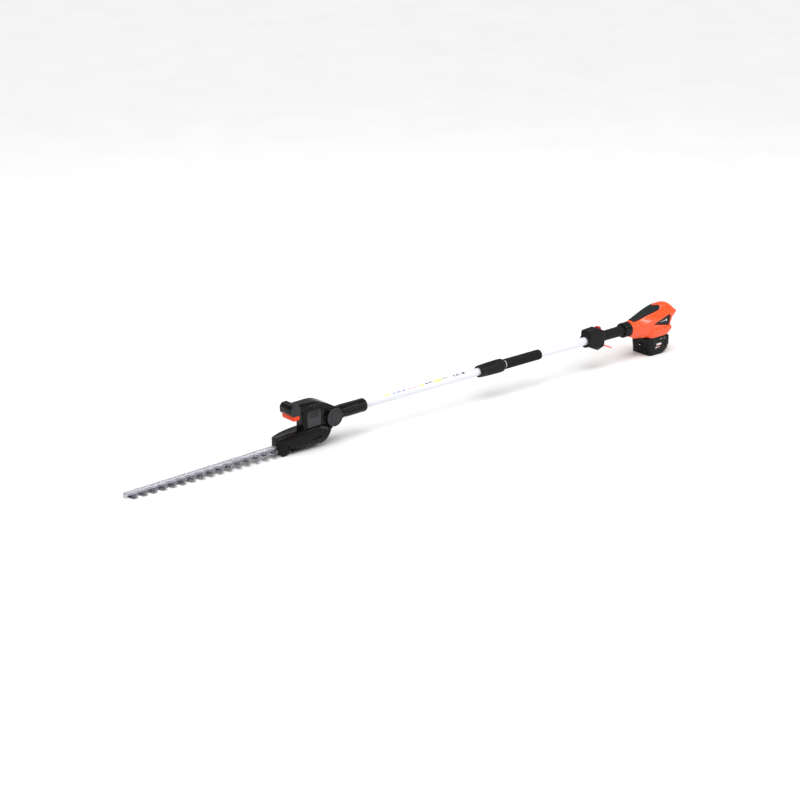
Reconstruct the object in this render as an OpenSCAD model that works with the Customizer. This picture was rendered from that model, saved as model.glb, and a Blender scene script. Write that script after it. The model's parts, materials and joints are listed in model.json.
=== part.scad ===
// Battery pole hedge trimmer: telescopic pole, tilting cutter head, slide-on battery.
// Origin: middle of the battery's flat underside. +X towards the rear, pole along -X, +Z up.
// The head is drawn in its own frame: origin on the tilt pivot, -X along the blade.

/* [Overall] */
// Height of the pole's axis above the battery's underside
axis_z = 104; // [100:1:110]
// Place of the head's tilt pivot along X
pivot_x = -1405; // [-1450:5:-1380]
// Droop of the blade below the pole's line, in degrees
head_droop = 1.04; // [0:0.02:3]
// Wall of the moulded shells
wall = 2.5; // [2:0.1:3]

/* [Tubes] */
// Outer diameter of the front tube, which slides
inner_tube_d = 25; // [24.8:0.1:25]
// Outer diameter of the rear tube
outer_tube_d = 28; // [28:0.1:28.4]
// Wall of both tubes
tube_wall = 1.25; // [1:0.05:1.25]
// Front tube's rear end along X
inner_tube_end = -600; // [-650:5:-580]
// Rear tube's front end along X
outer_tube_front = -742; // [-745:1:-740]
// Rear tube's rear end along X
outer_tube_end = -100; // [-105:1:-95]

/* [Twist lock] */
// Front of the twist collar along X
clamp_x = -810; // [-812:1:-808]
// Length of the twist collar
clamp_l = 109; // [108:1:111]
// Largest diameter of the twist collar
clamp_d = 44; // [42:1:46]

/* [Grips] */
// Front of the foam grip along X
foam_x = -696; // [-698:1:-690]
// Length of the foam grip
foam_l = 155; // [120:5:170]
// Diameter of the foam grip
foam_d = 33; // [31:0.5:36]
// Rear end of the rear grip along X
grip_end = -153; // [-154:1:-150]
// Diameter of the rear grip
grip_d = 35; // [33:0.5:36]
// Diameter of the collar behind the rear grip
collar_d = 50; // [44:1:52]

/* [Trigger] */
// Width of the trigger housing
trigger_housing_w = 46; // [42:1:50]
// Diameter of the trigger's pin
trigger_pin_d = 4; // [3:0.5:5]
// Width of the trigger lever
trigger_w = 14; // [10:1:18]

/* [Power unit] */
// Width of the orange housing
housing_w = 84; // [82:1:88]
// Width of the battery's slide tongue
tongue_w = 48; // [44:1:50]

/* [Battery] */
// Length of the battery
battery_l = 93; // [92:1:96]
// Width of the battery
battery_w = 80; // [78:1:82]
// Height of the battery's case
battery_h = 62; // [61:0.5:62]
// Diameter of one cell
cell_d = 18.2; // [18:0.1:18.4]
// Length of one cell
cell_l = 65; // [60:1:66]

/* [Cutter] */
// Distance between neighbouring teeth
tooth_pitch = 31.4; // [30:0.1:31.4]
// Number of teeth on each side of a blade
tooth_count = 16; // [4:1:16]
// Half width of the blades across the tooth tips
tooth_reach = 25; // [22:0.5:28]
// Thickness of one blade
blade_t = 2.4; // [2:0.1:2.4]
// Throw of each eccentric
throw = 7.5; // [5:0.5:7.5]
// How far each blade stands from the middle of its stroke
blade_rest = 4; // [0:0.5:5]

/* [Gears] */
// Module of the gear pair
gear_module = 1.25; // [1.25:0.01:1.25]
// Teeth of the motor's pinion
pinion_teeth = 10; // [10:1:10]
// Teeth of the crank gear
gear_teeth = 38; // [38:1:38]

/* [Hidden] */
$fn = 48;

gap = 0.3;          // clearance between neighbouring moving parts
running = 0.05;     // radial clearance of a shaft in its bore
far = 400;          // a length that passes right through any part

orange = [1.0, 0.35, 0.12];
black = [0.07, 0.07, 0.08];
dark_grey = [0.16, 0.18, 0.18];
white = [0.92, 0.92, 0.94];
steel = [0.72, 0.72, 0.76];
red = [0.55, 0.07, 0.05];
brass = [0.75, 0.6, 0.3];
board_green = [0.1, 0.4, 0.2];

inner_r = inner_tube_d / 2;
outer_r = outer_tube_d / 2;
outer_bore = outer_r - tube_wall;

// ---------- outlines ----------

function unit(v) = v / norm(v);
function inward(a, b) = let (e = unit(b - a)) [-e[1], e[0]];

// The anticlockwise outline p moved inwards by d, with mitred corners.
function inset(p, d) = [
    for (i = [0 : len(p) - 1])
        let (n = len(p), m = inward(p[(i + n - 1) % n], p[i]), k = inward(p[i], p[(i + 1) % n]))
            p[i] + d * (m + k) / (1 + m * k)
];

// Points along a cubic curve from a to d.
function curve(a, b, c, d, steps) = [
    for (i = [0 : steps])
        let (t = i / steps, s = 1 - t)
            s * s * s * a + 3 * s * s * t * b + 3 * s * t * t * c + t * t * t * d
];

// Plan outline, symmetric about the X axis, from a list of [x, half width] with rising x.
function mirrored(p) = concat(
    [for (i = [0 : len(p) - 1]) [p[i][0], -p[i][1]]],
    [for (i = [len(p) - 1 : -1 : 0]) p[i]]
);

// Upright outline, symmetric about the Z axis, from a list of [half width, z] with rising z.
function both_sides(p) = concat(
    p,
    [for (i = [len(p) - 1 : -1 : 0]) [-p[i][0], p[i][1]]]
);

// ---------- building blocks ----------

module side(p, w = far) rotate([90, 0, 0]) linear_extrude(height = w, center = true) polygon(p);

module plan(p) linear_extrude(height = far, center = true) polygon(p);

module front(p, x0, x1) {
    translate([x0, 0, 0])
        rotate([90, 0, 90])
            linear_extrude(height = x1 - x0) polygon(p);
}

module box(x, y, z) {
    translate([x[0], y[0], z[0]])
        cube([x[1] - x[0], y[1] - y[0], z[1] - z[0]]);
}

module rod_x(r, x0, x1) translate([x0, 0, 0]) rotate([0, 90, 0]) cylinder(h = x1 - x0, r = r);

module rod_y(r, y0, y1, at = [0, 0]) {
    translate([at[0], y0, at[1]])
        rotate([-90, 0, 0])
            cylinder(h = y1 - y0, r = r);
}

module rod_z(r, z0, z1, at = [0, 0]) translate([at[0], at[1], z0]) cylinder(h = z1 - z0, r = r);

module ring_x(ro, ri, x0, x1) {
    difference() {
        rod_x(ro, x0, x1);
        rod_x(ri, x0 - 1, x1 + 1);
    }
}

// A ring turned about the X axis from an outline of [radius, x].
module turned_x(p) rotate([0, 90, 0]) rotate_extrude() polygon(p);

module left_half() {
    intersection() {
        children();
        box([-far * 4, far], [-far, 0], [-far, far]);
    }
}

module right_half() {
    intersection() {
        children();
        box([-far * 4, far], [0, far], [-far, far]);
    }
}

module at_pole() translate([0, 0, axis_z]) children();

module at_pivot() translate([pivot_x, 0, axis_z]) children();

module at_head() at_pivot() rotate([0, -head_droop, 0]) children();

// A round-wire compression spring standing on the XY plane.
module spring(r, wire, turns, length) {
    per_turn = 12;
    rings = turns * per_turn;
    sides = 6;
    points = [
        for (i = [0 : rings], j = [0 : sides - 1])
            let (a = 360 * i / per_turn, b = 360 * j / sides)
                [(r + wire * cos(b)) * cos(a), (r + wire * cos(b)) * sin(a),
                 wire + (length - 2 * wire) * i / rings + wire * sin(b)]
    ];
    walls = [
        for (i = [0 : rings - 1], j = [0 : sides - 1])
            let (k = (j + 1) % sides)
                [i * sides + j, (i + 1) * sides + j, (i + 1) * sides + k, i * sides + k]
    ];
    first = [for (j = [0 : sides - 1]) j];
    last = [for (j = [sides - 1 : -1 : 0]) rings * sides + j];
    polyhedron(points, concat(walls, [first, last]));
}

// ---------- power unit ----------

housing_side = concat(
    [[-120, -25], [-108, -28], [-101, -36], [-56, -38], [-50, -41], [26, -41], [42, -35],
        [59, -21],
     [54, -8], [65, 12]],
    curve([87, 31], [80, 52], [64, 64], [36, 65], 6),
    [[-9, 62], [-112, 28], [-120, 26]]
);
housing_plan = mirrored([[-120, 25], [-95, 30], [-50, 40], [-30, housing_w / 2],
    [40, housing_w / 2], [60, 40], [87, 30]]);
housing_front = both_sides([[housing_w / 2, -41], [housing_w / 2, 0], [31, 32], [22, 57],
    [14, 65]]);
tongue_top = -34;   // top of the battery's tongue, from the pole's axis
pad_plan = mirrored([[-114, 10], [-60, 17], [-14, 19], [-4, 8]]);
panel_side = [[-28, 5], [48, -11], [55, 24], [40, 25]];

module housing_form(d) {
    intersection() {
        side(inset(housing_side, d));
        plan(inset(housing_plan, d));
        front(inset(housing_front, d), -far, far);
    }
}

// The slot on the housing's underside that the battery's tongue slides into.
module tongue_slot() {
    box([-50, far], [-tongue_w / 2 - gap, tongue_w / 2 + gap], [-50, tongue_top + gap]);
}

// Thin slab under the housing's sloping top, which the soft pad fills.
module pad_zone(d) {
    intersection() {
        plan(pad_plan);
        side([[-113, 20], [-8, 54.5], [-8, 70], [-113, 70]]);
        housing_form(-d);
    }
}

module panel_zone() side(panel_side);

module housing_shell() {
    difference() {
        housing_form(0);
        difference() {
            housing_form(wall);
            box([-far, far], [-30, 30], [-far, tongue_top + 5]);
            rod_x(outer_r + wall, -far, outer_tube_end + 6);
        }
        rod_x(outer_r, -far, outer_tube_end);
        rod_x(outer_bore, -far, 0);
        tongue_slot();
        guide_pocket();
        pad_zone(1);
        panel_recess();
        housing_screw_places() rod_y(1.7, -12, far);
    }
}

// The pocket above the tongue for the guide plate and the terminals.
module guide_pocket() box([-50, 44], [-28, 28], [tongue_top, tongue_top + 6]);

module panel_recess() {
    difference() {
        panel_zone();
        housing_form(1.4);
    }
}

module housing_screw_places() {
    for (p = [[-96, -19], [-60, 28], [62, 38], [52, -18]])
        translate([p[0], 0, p[1]]) children();
}

module housing_left() color(orange) at_pole() left_half() housing_shell();

module housing_right() color(orange) at_pole() right_half() housing_shell();

module top_pad() color(dark_grey) at_pole() pad_zone(1);

module side_panels() {
    color(black) at_pole()
        intersection() {
            panel_zone();
            difference() {
                housing_form(0.2);
                housing_form(1.4);
            }
        }
}

module housing_screws() {
    color(steel) at_pole()
        intersection() {
            housing_screw_places() rod_y(1.7, -12, far);
            housing_form(1.6);
        }
}

module control_board() {
    color(board_green) at_pole() {
        box([-50, 50], [-26, 26], [-8, -6.4]);
        for (x = [-34, -8, 18])
            box([x, x + 16], [-20, -8], [-6.4, 4]);
        for (y = [4, 17])
            rod_z(5, -6.4, 14, [-20 + y, y]);
    }
}

module terminal_block() {
    color(black) at_pole() {
        box([-49.5, -40], [-20, 20], [tongue_top + gap, tongue_top + 3]);
        for (y = [-14, 0, 14])
            box([-41, -26], [y - 0.8, y + 0.8], [tongue_top - 5, tongue_top + 3]);
    }
}

module battery_guide() {
    color(dark_grey) at_pole()
        box([-49.5, 43.5], [-27.5, 27.5], [tongue_top + 3, tongue_top + 6]);
}

module rear_collar() {
    edge = collar_d / 2;
    color(black) at_pole()
        difference() {
            turned_x([[outer_r, -120], [outer_r, grip_end], [edge - 3, grip_end],
                [edge, grip_end + 4], [edge, -124], [edge - 1.5, -120]]);
            rod_x(outer_r, -far, far);
        }
}

module rear_grip() {
    r = grip_d / 2;
    color(black) at_pole()
        turned_x([[outer_r, -252], [outer_r, grip_end], [r + 1, grip_end], [r, -185],
            [r - 0.5, -252]]);
}

// ---------- trigger housing ----------

trigger_side = [[-330, -12], [-322, -20], [-279, -39], [-257, -26], [-247, 14], [-258, 27],
    [-280, 37.5], [-324, 35], [-330, 27]];
trigger_pivot = [-266, -22];
trigger_max = 16;
button_travel = 3;

module trigger_form(d) {
    w = trigger_housing_w / 2 - d;
    intersection() {
        side(inset(trigger_side, d));
        front(both_sides([[w - 9, -40], [w, -26], [w, 22], [w - 8, 38]]), -far, far);
        plan(mirrored([[-331 + d, w - 7], [-322 + d, w], [-264 - d, w], [-246 - d, w - 5]]));
    }
}

module trigger_housing_shell() {
    difference() {
        trigger_form(0);
        difference() {
            trigger_form(wall);
            rod_x(outer_r + wall, -far, far);
            rod_y(4.5, -far, -trigger_w / 2 - 1, trigger_pivot);
            rod_y(4.5, trigger_w / 2 + 1, far, trigger_pivot);
        }
        rod_x(outer_r, -far, far);
        rod_x(grip_d / 2 + 0.1, -252.5, far);
        rod_y(trigger_pin_d / 2, -12, 12, trigger_pivot);
        box([-267, -200], [-trigger_w / 2 - gap, trigger_w / 2 + gap], [-60, -17]);
        box([-277.5 - gap, -258.5 + gap], [-6 - gap, 6 + gap], [21, far]);
        trigger_screw_places() rod_y(1.7, -10, far);
    }
}

module trigger_screw_places() {
    for (p = [[-318, 26], [-312, -17], [-258, 17]])
        translate([p[0], 0, p[1]]) children();
}

module trigger_housing_left() color(black) at_pole() left_half() trigger_housing_shell();

module trigger_housing_right() color(black) at_pole() right_half() trigger_housing_shell();

module trigger_housing_screws() {
    color(steel) at_pole()
        intersection() {
            trigger_screw_places() rod_y(1.7, -10, far);
            trigger_form(1);
        }
}

module trigger_pin() color(steel) at_pole() rod_y(trigger_pin_d / 2, -12, 12, trigger_pivot);

module trigger_lever() {
    edge = [[-5, 3], [-4, -3.6], [12, -6.5], [24, -11], [61, -27], [62.5, -23.5], [26, -6.8],
        [14, -1.8], [4, 3.4], [2.5, 4.6], [-2.5, 4.6]];
    color(orange) at_pole()
        difference() {
            translate([trigger_pivot[0], 0, trigger_pivot[1]])
                side(edge, trigger_w);
            rod_y(trigger_pin_d / 2 + running, -far, far, trigger_pivot);
        }
}

module switch_body() {
    color(black) at_pole() {
        box([-297, -276], [-6, 6], [-27.5, -17.5]);
        box([-276, -272], [-2.5, 2.5], [-24, -20.5]);
    }
}

module lock_off_button() {
    color(red) at_pole() {
        side([[-277.5, 25], [-258.5, 25], [-258.5, 34], [-264, 38], [-277.5, 38.5]], 12);
        side([[-277, 23], [-261, 23], [-261, 25], [-277, 25]], 16);
    }
}

module lock_off_spring() color(steel) at_pole() translate([-268, 0, 17]) spring(3.4, 0.4, 4, 5.8);

// ---------- poles and twist lock ----------

module outer_tube() color(white) at_pole() ring_x(outer_r, outer_bore, outer_tube_front, outer_tube_end);

module foam_grip() {
    r = foam_d / 2;
    color(black) at_pole()
        turned_x([[outer_r, foam_x], [outer_r, foam_x + foam_l], [r - 1, foam_x + foam_l],
            [r, foam_x + foam_l - 2], [r, foam_x + 2], [r - 1, foam_x]]);
}

module clamp_collet() {
    color(dark_grey) at_pole()
        difference() {
            union() {
                ring_x(16.5, inner_r + running, -800, outer_tube_front);
                ring_x(16.5, outer_r, outer_tube_front, -712);
            }
            for (a = [45, 135])
                rotate([a, 0, 0])
                    box([-801, -760], [-1, 1], [-20, 20]);
        }
}

module clamp_nut() {
    r = clamp_d / 2;
    clamp_end = clamp_x + clamp_l;
    color(black) at_pole()
        turned_x([[16.8, -802], [16.8, -706], [outer_r + gap, -706], [outer_r + gap, clamp_end],
            [outer_r + 3, clamp_end], [r - 1, clamp_end - 8], [r, clamp_end - 20],
            [r - 1.2, clamp_end - 60], [r - 2.6, clamp_x + 3], [r - 3.6, clamp_x],
            [inner_r + 1.5, clamp_x], [inner_r + gap, clamp_x + 3], [inner_r + gap, -802]]);
}

module inner_tube() {
    color(white) at_pole()
        ring_x(inner_r, inner_r - tube_wall, pivot_x + 60, inner_tube_end);
}

module tube_end_bush() {
    bore = 5;
    color(black) at_pole()
        difference() {
            union() {
                rod_x(outer_bore - running, inner_tube_end, inner_tube_end + 10);
                rod_x(inner_r - tube_wall, inner_tube_end - 14, inner_tube_end);
            }
            rod_x(bore, -far * 4, far);
        }
}

module head_lead() color(black) at_pole() rod_x(3.2, pivot_x + 62, inner_tube_end + 11);

module pole_lead() color(black) at_pole() rod_x(9, inner_tube_end + 11, outer_tube_end - 12);

// ---------- battery ----------

cell_row_pitch = cell_d + 0.2;

module battery_profile(d) {
    x = battery_l / 2;
    corner = mirrored([[-x, battery_w / 2 - 7], [-x + 7, battery_w / 2], [x - 7, battery_w / 2],
        [x, battery_w / 2 - 7]]);
    shape = [[-x, 0], [14, 0], [34, 10], [x, 18], [x, battery_h], [-x - 12, battery_h],
        [-x - 10, battery_h - 8], [-x, battery_h - 26]];
    intersection() {
        side(inset(shape, d));
        union() {
            plan(inset(corner, d));
            box([-x - 20, 0], [-battery_w / 2 + 8 + d, battery_w / 2 - 8 - d], [0, far]);
        }
    }
}

split_z = 40;       // height of the joint between the battery's two shells

module battery_case_lower() {
    color(black)
        difference() {
            intersection() {
                battery_profile(0);
                box([-far, far], [-far, far], [0, split_z]);
            }
            battery_profile(wall);
        }
}

module battery_case_upper() {
    top = axis_z + tongue_top;
    color(black)
        difference() {
            union() {
                intersection() {
                    battery_profile(0);
                    box([-far, far], [-far, far], [split_z, far]);
                }
                box([-46, 44], [-tongue_w / 2, tongue_w / 2], [battery_h, top]);
            }
            battery_profile(wall);
            for (y = [-14, 0, 14])
                box([-far, -20.3], [y - 1.4, y + 1.4], [battery_h - wall - 1, top + 1]);
            box([38, far], [-12.4, 12.4], [battery_h - 9, far]);
            rod_y(5.4, -far, -battery_w / 2 + 6, [24, 52]);
        }
}

// Three rows of cells lying across the case: three, four and three.
module cell_places() {
    for (row = [0, 1, 2])
        for (column = (row == 1 ? [0, 1, 2, 3] : [0, 1, 2]))
            translate([(column - 1.5) * (cell_row_pitch + 1), 0,
                3 + cell_d / 2 + row * cell_row_pitch])
                children();
}

module battery_cells() color(steel) cell_places() rod_y(cell_d / 2, -cell_l / 2, cell_l / 2);

module cell_holder() {
    x = 2 * (cell_row_pitch + 1);
    color(white)
        difference() {
            for (s = [-1, 1])
                box([-x, x], [s * 22 - 3, s * 22 + 3], [cell_d + 3.4, 3 + 2 * cell_row_pitch]);
            cell_places() rod_y(cell_d / 2, -far, far);
        }
}

module battery_contacts() {
    color(brass)
        for (y = [-14, 0, 14])
            box([-24, -20.5], [y - 1.2, y + 1.2], [battery_h - wall - 1, axis_z + tongue_top - 2]);
}

module battery_latch() {
    color(black) {
        box([42, 47.5], [-12, 12], [battery_h - 8.5, battery_h + 0.5]);
        box([46.5, 49], [-8, 8], [battery_h - 6, battery_h - 1]);
    }
}

module gauge_button() {
    color(dark_grey)
        rod_y(5, -battery_w / 2 - 0.8, -battery_w / 2 + 2.4, [24, 52]);
}

// ---------- head bracket on the pole ----------

hub_w = 36;         // width of the bracket's hub between the head's ears
hub_r = 22.5;
ring_r = 24;
neck_l = 34;        // from the pivot to the full round sleeve
sleeve_l = 132;
bolt_r = 5;

module bracket_form() {
    difference() {
        union() {
            rod_y(hub_r, -hub_w / 2, hub_w / 2);
            intersection() {
                rod_x(20.5, 6, neck_l + 1);
                box([0, neck_l + 1], [-hub_w / 2, hub_w / 2], [-30, 30]);
            }
            translate([neck_l, 0, 0])
                rotate([0, 90, 0])
                    cylinder(h = sleeve_l - neck_l, r1 = 20.9, r2 = 20.4);
        }
        rod_y(bolt_r + running, -far, far);
        rod_x(inner_r, 60, far);
        rod_x(6, 30, 61);
        rod_y(ring_r + 0.5, -2, 2);
        bracket_screw_places() rod_y(1.8, -far, far);
        bracket_screw_places() rod_y(3.6, -far, -11);
    }
}

module bracket_screw_places() {
    for (x = [50, 110])
        translate([x, 0, -15.6]) children();
}

module bracket_left() color(black) at_pivot() left_half() bracket_form();

module bracket_right() color(black) at_pivot() right_half() bracket_form();

module bracket_screws() {
    color(steel) at_pivot()
        bracket_screw_places() {
            rod_y(1.8, -11, 12);
            rod_y(3.4, -12.6, -11);
        }
}

module lock_ring() {
    notches = 24;
    color(steel) at_pivot()
        difference() {
            rod_y(ring_r, -2, 2);
            rod_y(bolt_r + running, -far, far);
            for (i = [0 : notches - 1])
                rotate([0, 360 * i / notches, 0])
                    box([ring_r - 1.6, ring_r + 5], [-3, 3], [-1.4, 1.4]);
        }
}

// ---------- cutter head, in its own frame ----------

seam = [[-200, -26.5], [-60, -24], [-30, -31], [-14, -31]];
case_plan = mirrored([[-200, 15], [-188, 21], [-150, 28], [-100, 31], [0, 31.5], [30, 31]]);
arch_curve = curve([-85, 67], [-40, 66], [-20, 40], [24, 17], 8);
arch_bottom = 38.4;
motor_x = -67;
crank_x = motor_x - gear_module * (gear_teeth + pinion_teeth) / 2;
ear_in = hub_w / 2 + gap;
ear_out = 29.5;
cap_r = 28.5;
bar_top = -44.3;
bar_bottom = -54.3;
upper_z = bar_bottom - gap - blade_t;
lower_z = upper_z - 0.2 - blade_t;
bar_tip = -705;
bar_root = -139;
first_tooth = -213;
lever_travel = 4;
eccentric_r = 9.5;
stroke_side = throw + gap;
column_plan = mirrored([[-101, 16], [-95, 22], [-41, 22], [-35, 18]]);

// The space that the bracket sweeps through as the head tilts.
module bracket_sweep() {
    up = 45;
    down = 75;
    reach = 90;
    half = 21;
    high = [[-half * sin(up), half * cos(up)],
        [-half * sin(up) + reach * cos(up), half * cos(up) + reach * sin(up)]];
    low = [[-half * sin(down) + reach * cos(down), -half * cos(down) - reach * sin(down)],
        [-half * sin(down), -half * cos(down)]];
    rod_y(ring_r + 0.8, -ear_in, ear_in);
    side([low[1], low[0], [reach, -40], [reach, 80], high[1], high[0]], 2 * ear_in);
    difference() {
        side([low[1], low[0], [reach, -40], [reach, 80], high[1], high[0]], 2 * half);
        rod_y(neck_l - gap, -far, far);
    }
}

module deck_form() {
    deck = concat(seam, [[-6, -22], [-22, -13], [-104, -13], [-140, -15], [-180, -19.5],
        [-198, -23.5]]);
    intersection() {
        side(deck);
        plan(case_plan);
    }
}

// The hollow under the deck, open downwards to the lower case.
module deck_cavity() {
    intersection() {
        side([[-172, -40], [-40, -40], [-40, -15.5], [-104, -15.5], [-140, -17.5], [-172, -22]]);
        plan(inset(case_plan, wall));
    }
}

module column_form() {
    intersection() {
        plan(column_plan);
        box([-far, far], [-far, far], [-28, arch_bottom + 4]);
    }
}

module arch_form() {
    crown = concat([[-125, arch_bottom + 2], [-100, arch_bottom], [-36, arch_bottom], [-20, 20]],
        [[-4, 14], [22, 14]],
        [for (i = [len(arch_curve) - 1 : -1 : 0]) arch_curve[i]],
        [[-125, 67.5]]);
    intersection() {
        side(crown);
        plan(mirrored([[-125, 19], [-100, 23], [-60, 26], [-20, 27.5], [26, 27.5]]));
        front(both_sides([[28, -40], [28, 46], [24, 57], [14, 68]]), -far, far);
    }
}

module ear_form() {
    web = [[-40, -27], [-14, -31], [-6, -24], [10, 0], [20, 15], [-8, 36], [-40, 45]];
    side(web, 54);
    rod_y(cap_r, -ear_out, ear_out);
}

module rod_channel() {
    side([[-146, 42.4], [-48.5, 42.4], [-11.8, 23], [-6.4, 23], [-6.4, 32], [-20, 41],
        [-44, 53.5], [-146, 53.5]], 6.8);
}

module upper_case() {
    difference() {
        union() {
            deck_form();
            column_form();
            arch_form();
            ear_form();
        }
        column_cavity();
        deck_cavity();
        bracket_sweep();
        rod_channel();
        rod_y(bolt_r, -far, far);
        rod_y(9.2, -far, -25);
        rod_y(9.2, 25, far);
        rod_y(cap_r, -far, -ear_out);
        rod_y(cap_r, ear_out, far);
        vents();
    }
}

module column_cavity() {
    intersection() {
        plan(inset(column_plan, wall));
        box([-far, far], [-far, far], [-40, 37]);
    }
}

// Cooling slits on both sides of the motor column.
module vents() {
    slit_h = 1.6;
    for (i = [0 : 4])
        box([-92, -50], [-far, far], [16 + i * 4, 16 + i * 4 + slit_h]);
}

module upper_case_left() color(black) at_head() left_half() upper_case();

module upper_case_right() color(black) at_head() right_half() upper_case();

module lower_form(d) {
    belly = concat([[-200, bar_top], [-165, bar_top], [-165, -66], [-137, -70.5], [-38, -70.5]],
        [for (i = [len(seam) - 1 : -1 : 0]) seam[i]]);
    intersection() {
        side(inset(belly, d));
        plan(inset(case_plan, d));
    }
}

module head_screw_places() {
    for (p = [[-150, -20], [-150, 20], [-50, -22], [-50, 22]])
        translate([p[0], p[1], 0]) children();
}

module lower_case() {
    color(black) at_head()
        difference() {
            union() {
                difference() {
                    lower_form(0);
                    lower_form(wall);
                    box([-162, -34], [-27, 27], [-40, 0]);
                    box([-170, -160], [-14, 14], [-63, bar_top]);
                }
                box([-166, -141], [-24, 24], [bar_top, -37]);
                intersection() {
                    union() {
                        head_screw_places() rod_z(4.5, -70, -37);
                        rod_z(9, -70, -62, [crank_x, 0]);
                    }
                    lower_form(0.5);
                }
            }
            rod_z(4 + running, -68, far, [crank_x, 0]);
            head_screw_places() rod_z(2, -far, far);
            head_screw_places() rod_z(4, -far, -68);
            bracket_sweep();
            bar_bolt_places() rod_z(2.6, -60, -30);
        }
}

module blade_guard() {
    shape = [[-197, bar_top], [-197, -60], [-186, -75.7], [-176, -75.7], [-165, -66.5],
        [-165, bar_top]];
    color(black) at_head()
        difference() {
            intersection() {
                side(shape, 46);
                plan(mirrored([[-197, 16], [-186, 22], [-165, 23]]));
            }
            box([-far, 0], [-14, 14], [-63, 0]);
        }
}

module t_bar_form(d) {
    section = [[-150, 37.5], [-125, 37.5], [-125, 66], [-131, 68.5], [-147, 68.5], [-155, 60],
        [-155, 44]];
    side(inset(section, d), 57 - 2 * d);
}

module t_bar() {
    color(black) at_head()
        difference() {
            t_bar_form(0);
            t_bar_form(1.6);
            box([-149.5 - gap, -127 + gap], [-27.1, 27.1], [30, 50]);
            rod_channel();
        }
}

module pivot_cap_left() color(dark_grey) at_head() rod_y(28, -32, -ear_out);

module pivot_cap_right() color(dark_grey) at_head() rod_y(28, ear_out, 32);

module pivot_bolt() {
    color(steel) at_head() {
        rod_y(bolt_r, -25, 25);
        rod_y(8.5, -29, -25);
        rod_y(8.5, 25, 29);
    }
}

module head_screws() {
    color(steel) at_head()
        head_screw_places() {
            rod_z(2, -68, -39);
            rod_z(3.8, -69.6, -68);
        }
}

// Tilt release: a squeeze lever under the handle lifts the pawl off the notched ring.
module tilt_lever() {
    color(orange) at_head() {
        side([[-149, 23.5], [-146, 21], [-127, 21], [-127, 37], [-149, 37]], 53.5);
        box([-149, -127], [-24, 24], [37, 42.1]);
    }
}

module tilt_spring() {
    color(steel) at_head()
        for (y = [-16, 16])
            translate([-138, y, 42.2]) spring(5, 0.6, 6, 24.4);
}

module lock_pawl() {
    color(steel) at_head()
        side([[-145, 42.8], [-48, 42.8], [-11, 23.9], [-7.2, 23.9], [-7.2, 27], [-20, 35.5],
            [-45, 48], [-145, 48]], 6);
}

// ---------- drive ----------

module motor_can() {
    color(steel) at_head()
        difference() {
            rod_z(19, -31, 29, [motor_x, 0]);
            rod_z(17, -28.5, 26.5, [motor_x, 0]);
            rod_z(2.5 + running, -far, far, [motor_x, 0]);
        }
}

module gearbox_plate() {
    color(steel) at_head()
        difference() {
            box([-136, -39], [-26, 26], [-35, -31]);
            rod_z(8.5, -far, far, [motor_x, 0]);
            rod_z(4 + running, -far, -31.6, [crank_x, 0]);
        }
}

// Involute gear outline; tooth 0 is centred on +X, thinned a little for backlash.
function involute(base, a) = base * [cos(a) + a * PI / 180 * sin(a), sin(a) - a * PI / 180 * cos(a)];
function roll(base, r) = sqrt(max(0, r * r / (base * base) - 1)) * 180 / PI;
function polar(r, a) = [r * cos(a), r * sin(a)];
function spin(p, a) = [p[0] * cos(a) - p[1] * sin(a), p[0] * sin(a) + p[1] * cos(a)];
function angle_of(p) = atan2(p[1], p[0]);

function gear_outline(teeth) =
    let (
        pitch = gear_module * teeth / 2,
        base = pitch * cos(20),
        tip = pitch + 0.92 * gear_module,
        root = pitch - 1.3 * gear_module,
        half = 90 / teeth * 0.86 + angle_of(involute(base, roll(base, pitch))),
        radii = [for (i = [0 : 3]) base + (tip - base) * i / 3]
    )
    [
        for (k = [0 : teeth - 1])
            let (c = 360 * k / teeth)
                each concat(
                    [polar(root, c - half)],
                    [for (r = radii) spin(involute(base, roll(base, r)), c - half)],
                    [for (i = [3 : -1 : 0])
                        let (q = involute(base, roll(base, radii[i])))
                            spin([q[0], -q[1]], c + half)],
                    [polar(root, c + half)]
                )
    ];

module gear(teeth, z0, z1) {
    translate([0, 0, z0])
        linear_extrude(height = z1 - z0) polygon(gear_outline(teeth));
}

module motor_rotor() {
    color(steel) at_head()
        translate([motor_x, 0, 0]) {
            rod_z(2.5, -47, 33);
            rod_z(15.5, -24, 22);
            rotate([0, 0, 180 / pinion_teeth])
                gear(pinion_teeth, -47, -37);
            rod_z(6, 31, 35.5);
            for (i = [0 : 7])
                rotate([0, 0, 45 * i])
                    box([5, 16], [-0.7, 0.7], [31, 35.5]);
        }
}

module crank_gear() {
    phase = asin(blade_rest / throw);
    color(steel) at_head()
        translate([crank_x, 0, 0]) {
            rod_z(4, -67, -32);
            gear(gear_teeth, -46, -38);
            rod_z(7, -54, -46);
            rod_z(eccentric_r, upper_z, -54, throw * [sin(phase), cos(phase)]);
            rod_z(eccentric_r, lower_z, upper_z, -throw * [sin(phase), cos(phase)]);
        }
}

// ---------- cutter ----------

bolt_pitch = 80.4;
first_bolt = -667;

module bar_bolt_places() {
    for (i = [0 : 5])
        translate([first_bolt + i * bolt_pitch, 0, 0]) children();
    translate([-156, 0, 0]) children();
}

module blade_bar() {
    color(steel) at_head()
        difference() {
            union() {
                box([bar_tip + 5, bar_root], [-6, 6], [bar_bottom, bar_top]);
                side([[bar_tip + 5, bar_top], [bar_tip + 2, bar_top - 1], [bar_tip, bar_top - 4],
                    [bar_tip, -57], [bar_tip + 2, -59], [bar_tip + 5, -59.5]], 12);
            }
            bar_bolt_places() rod_z(2.5, -70, 0);
        }
}

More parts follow.
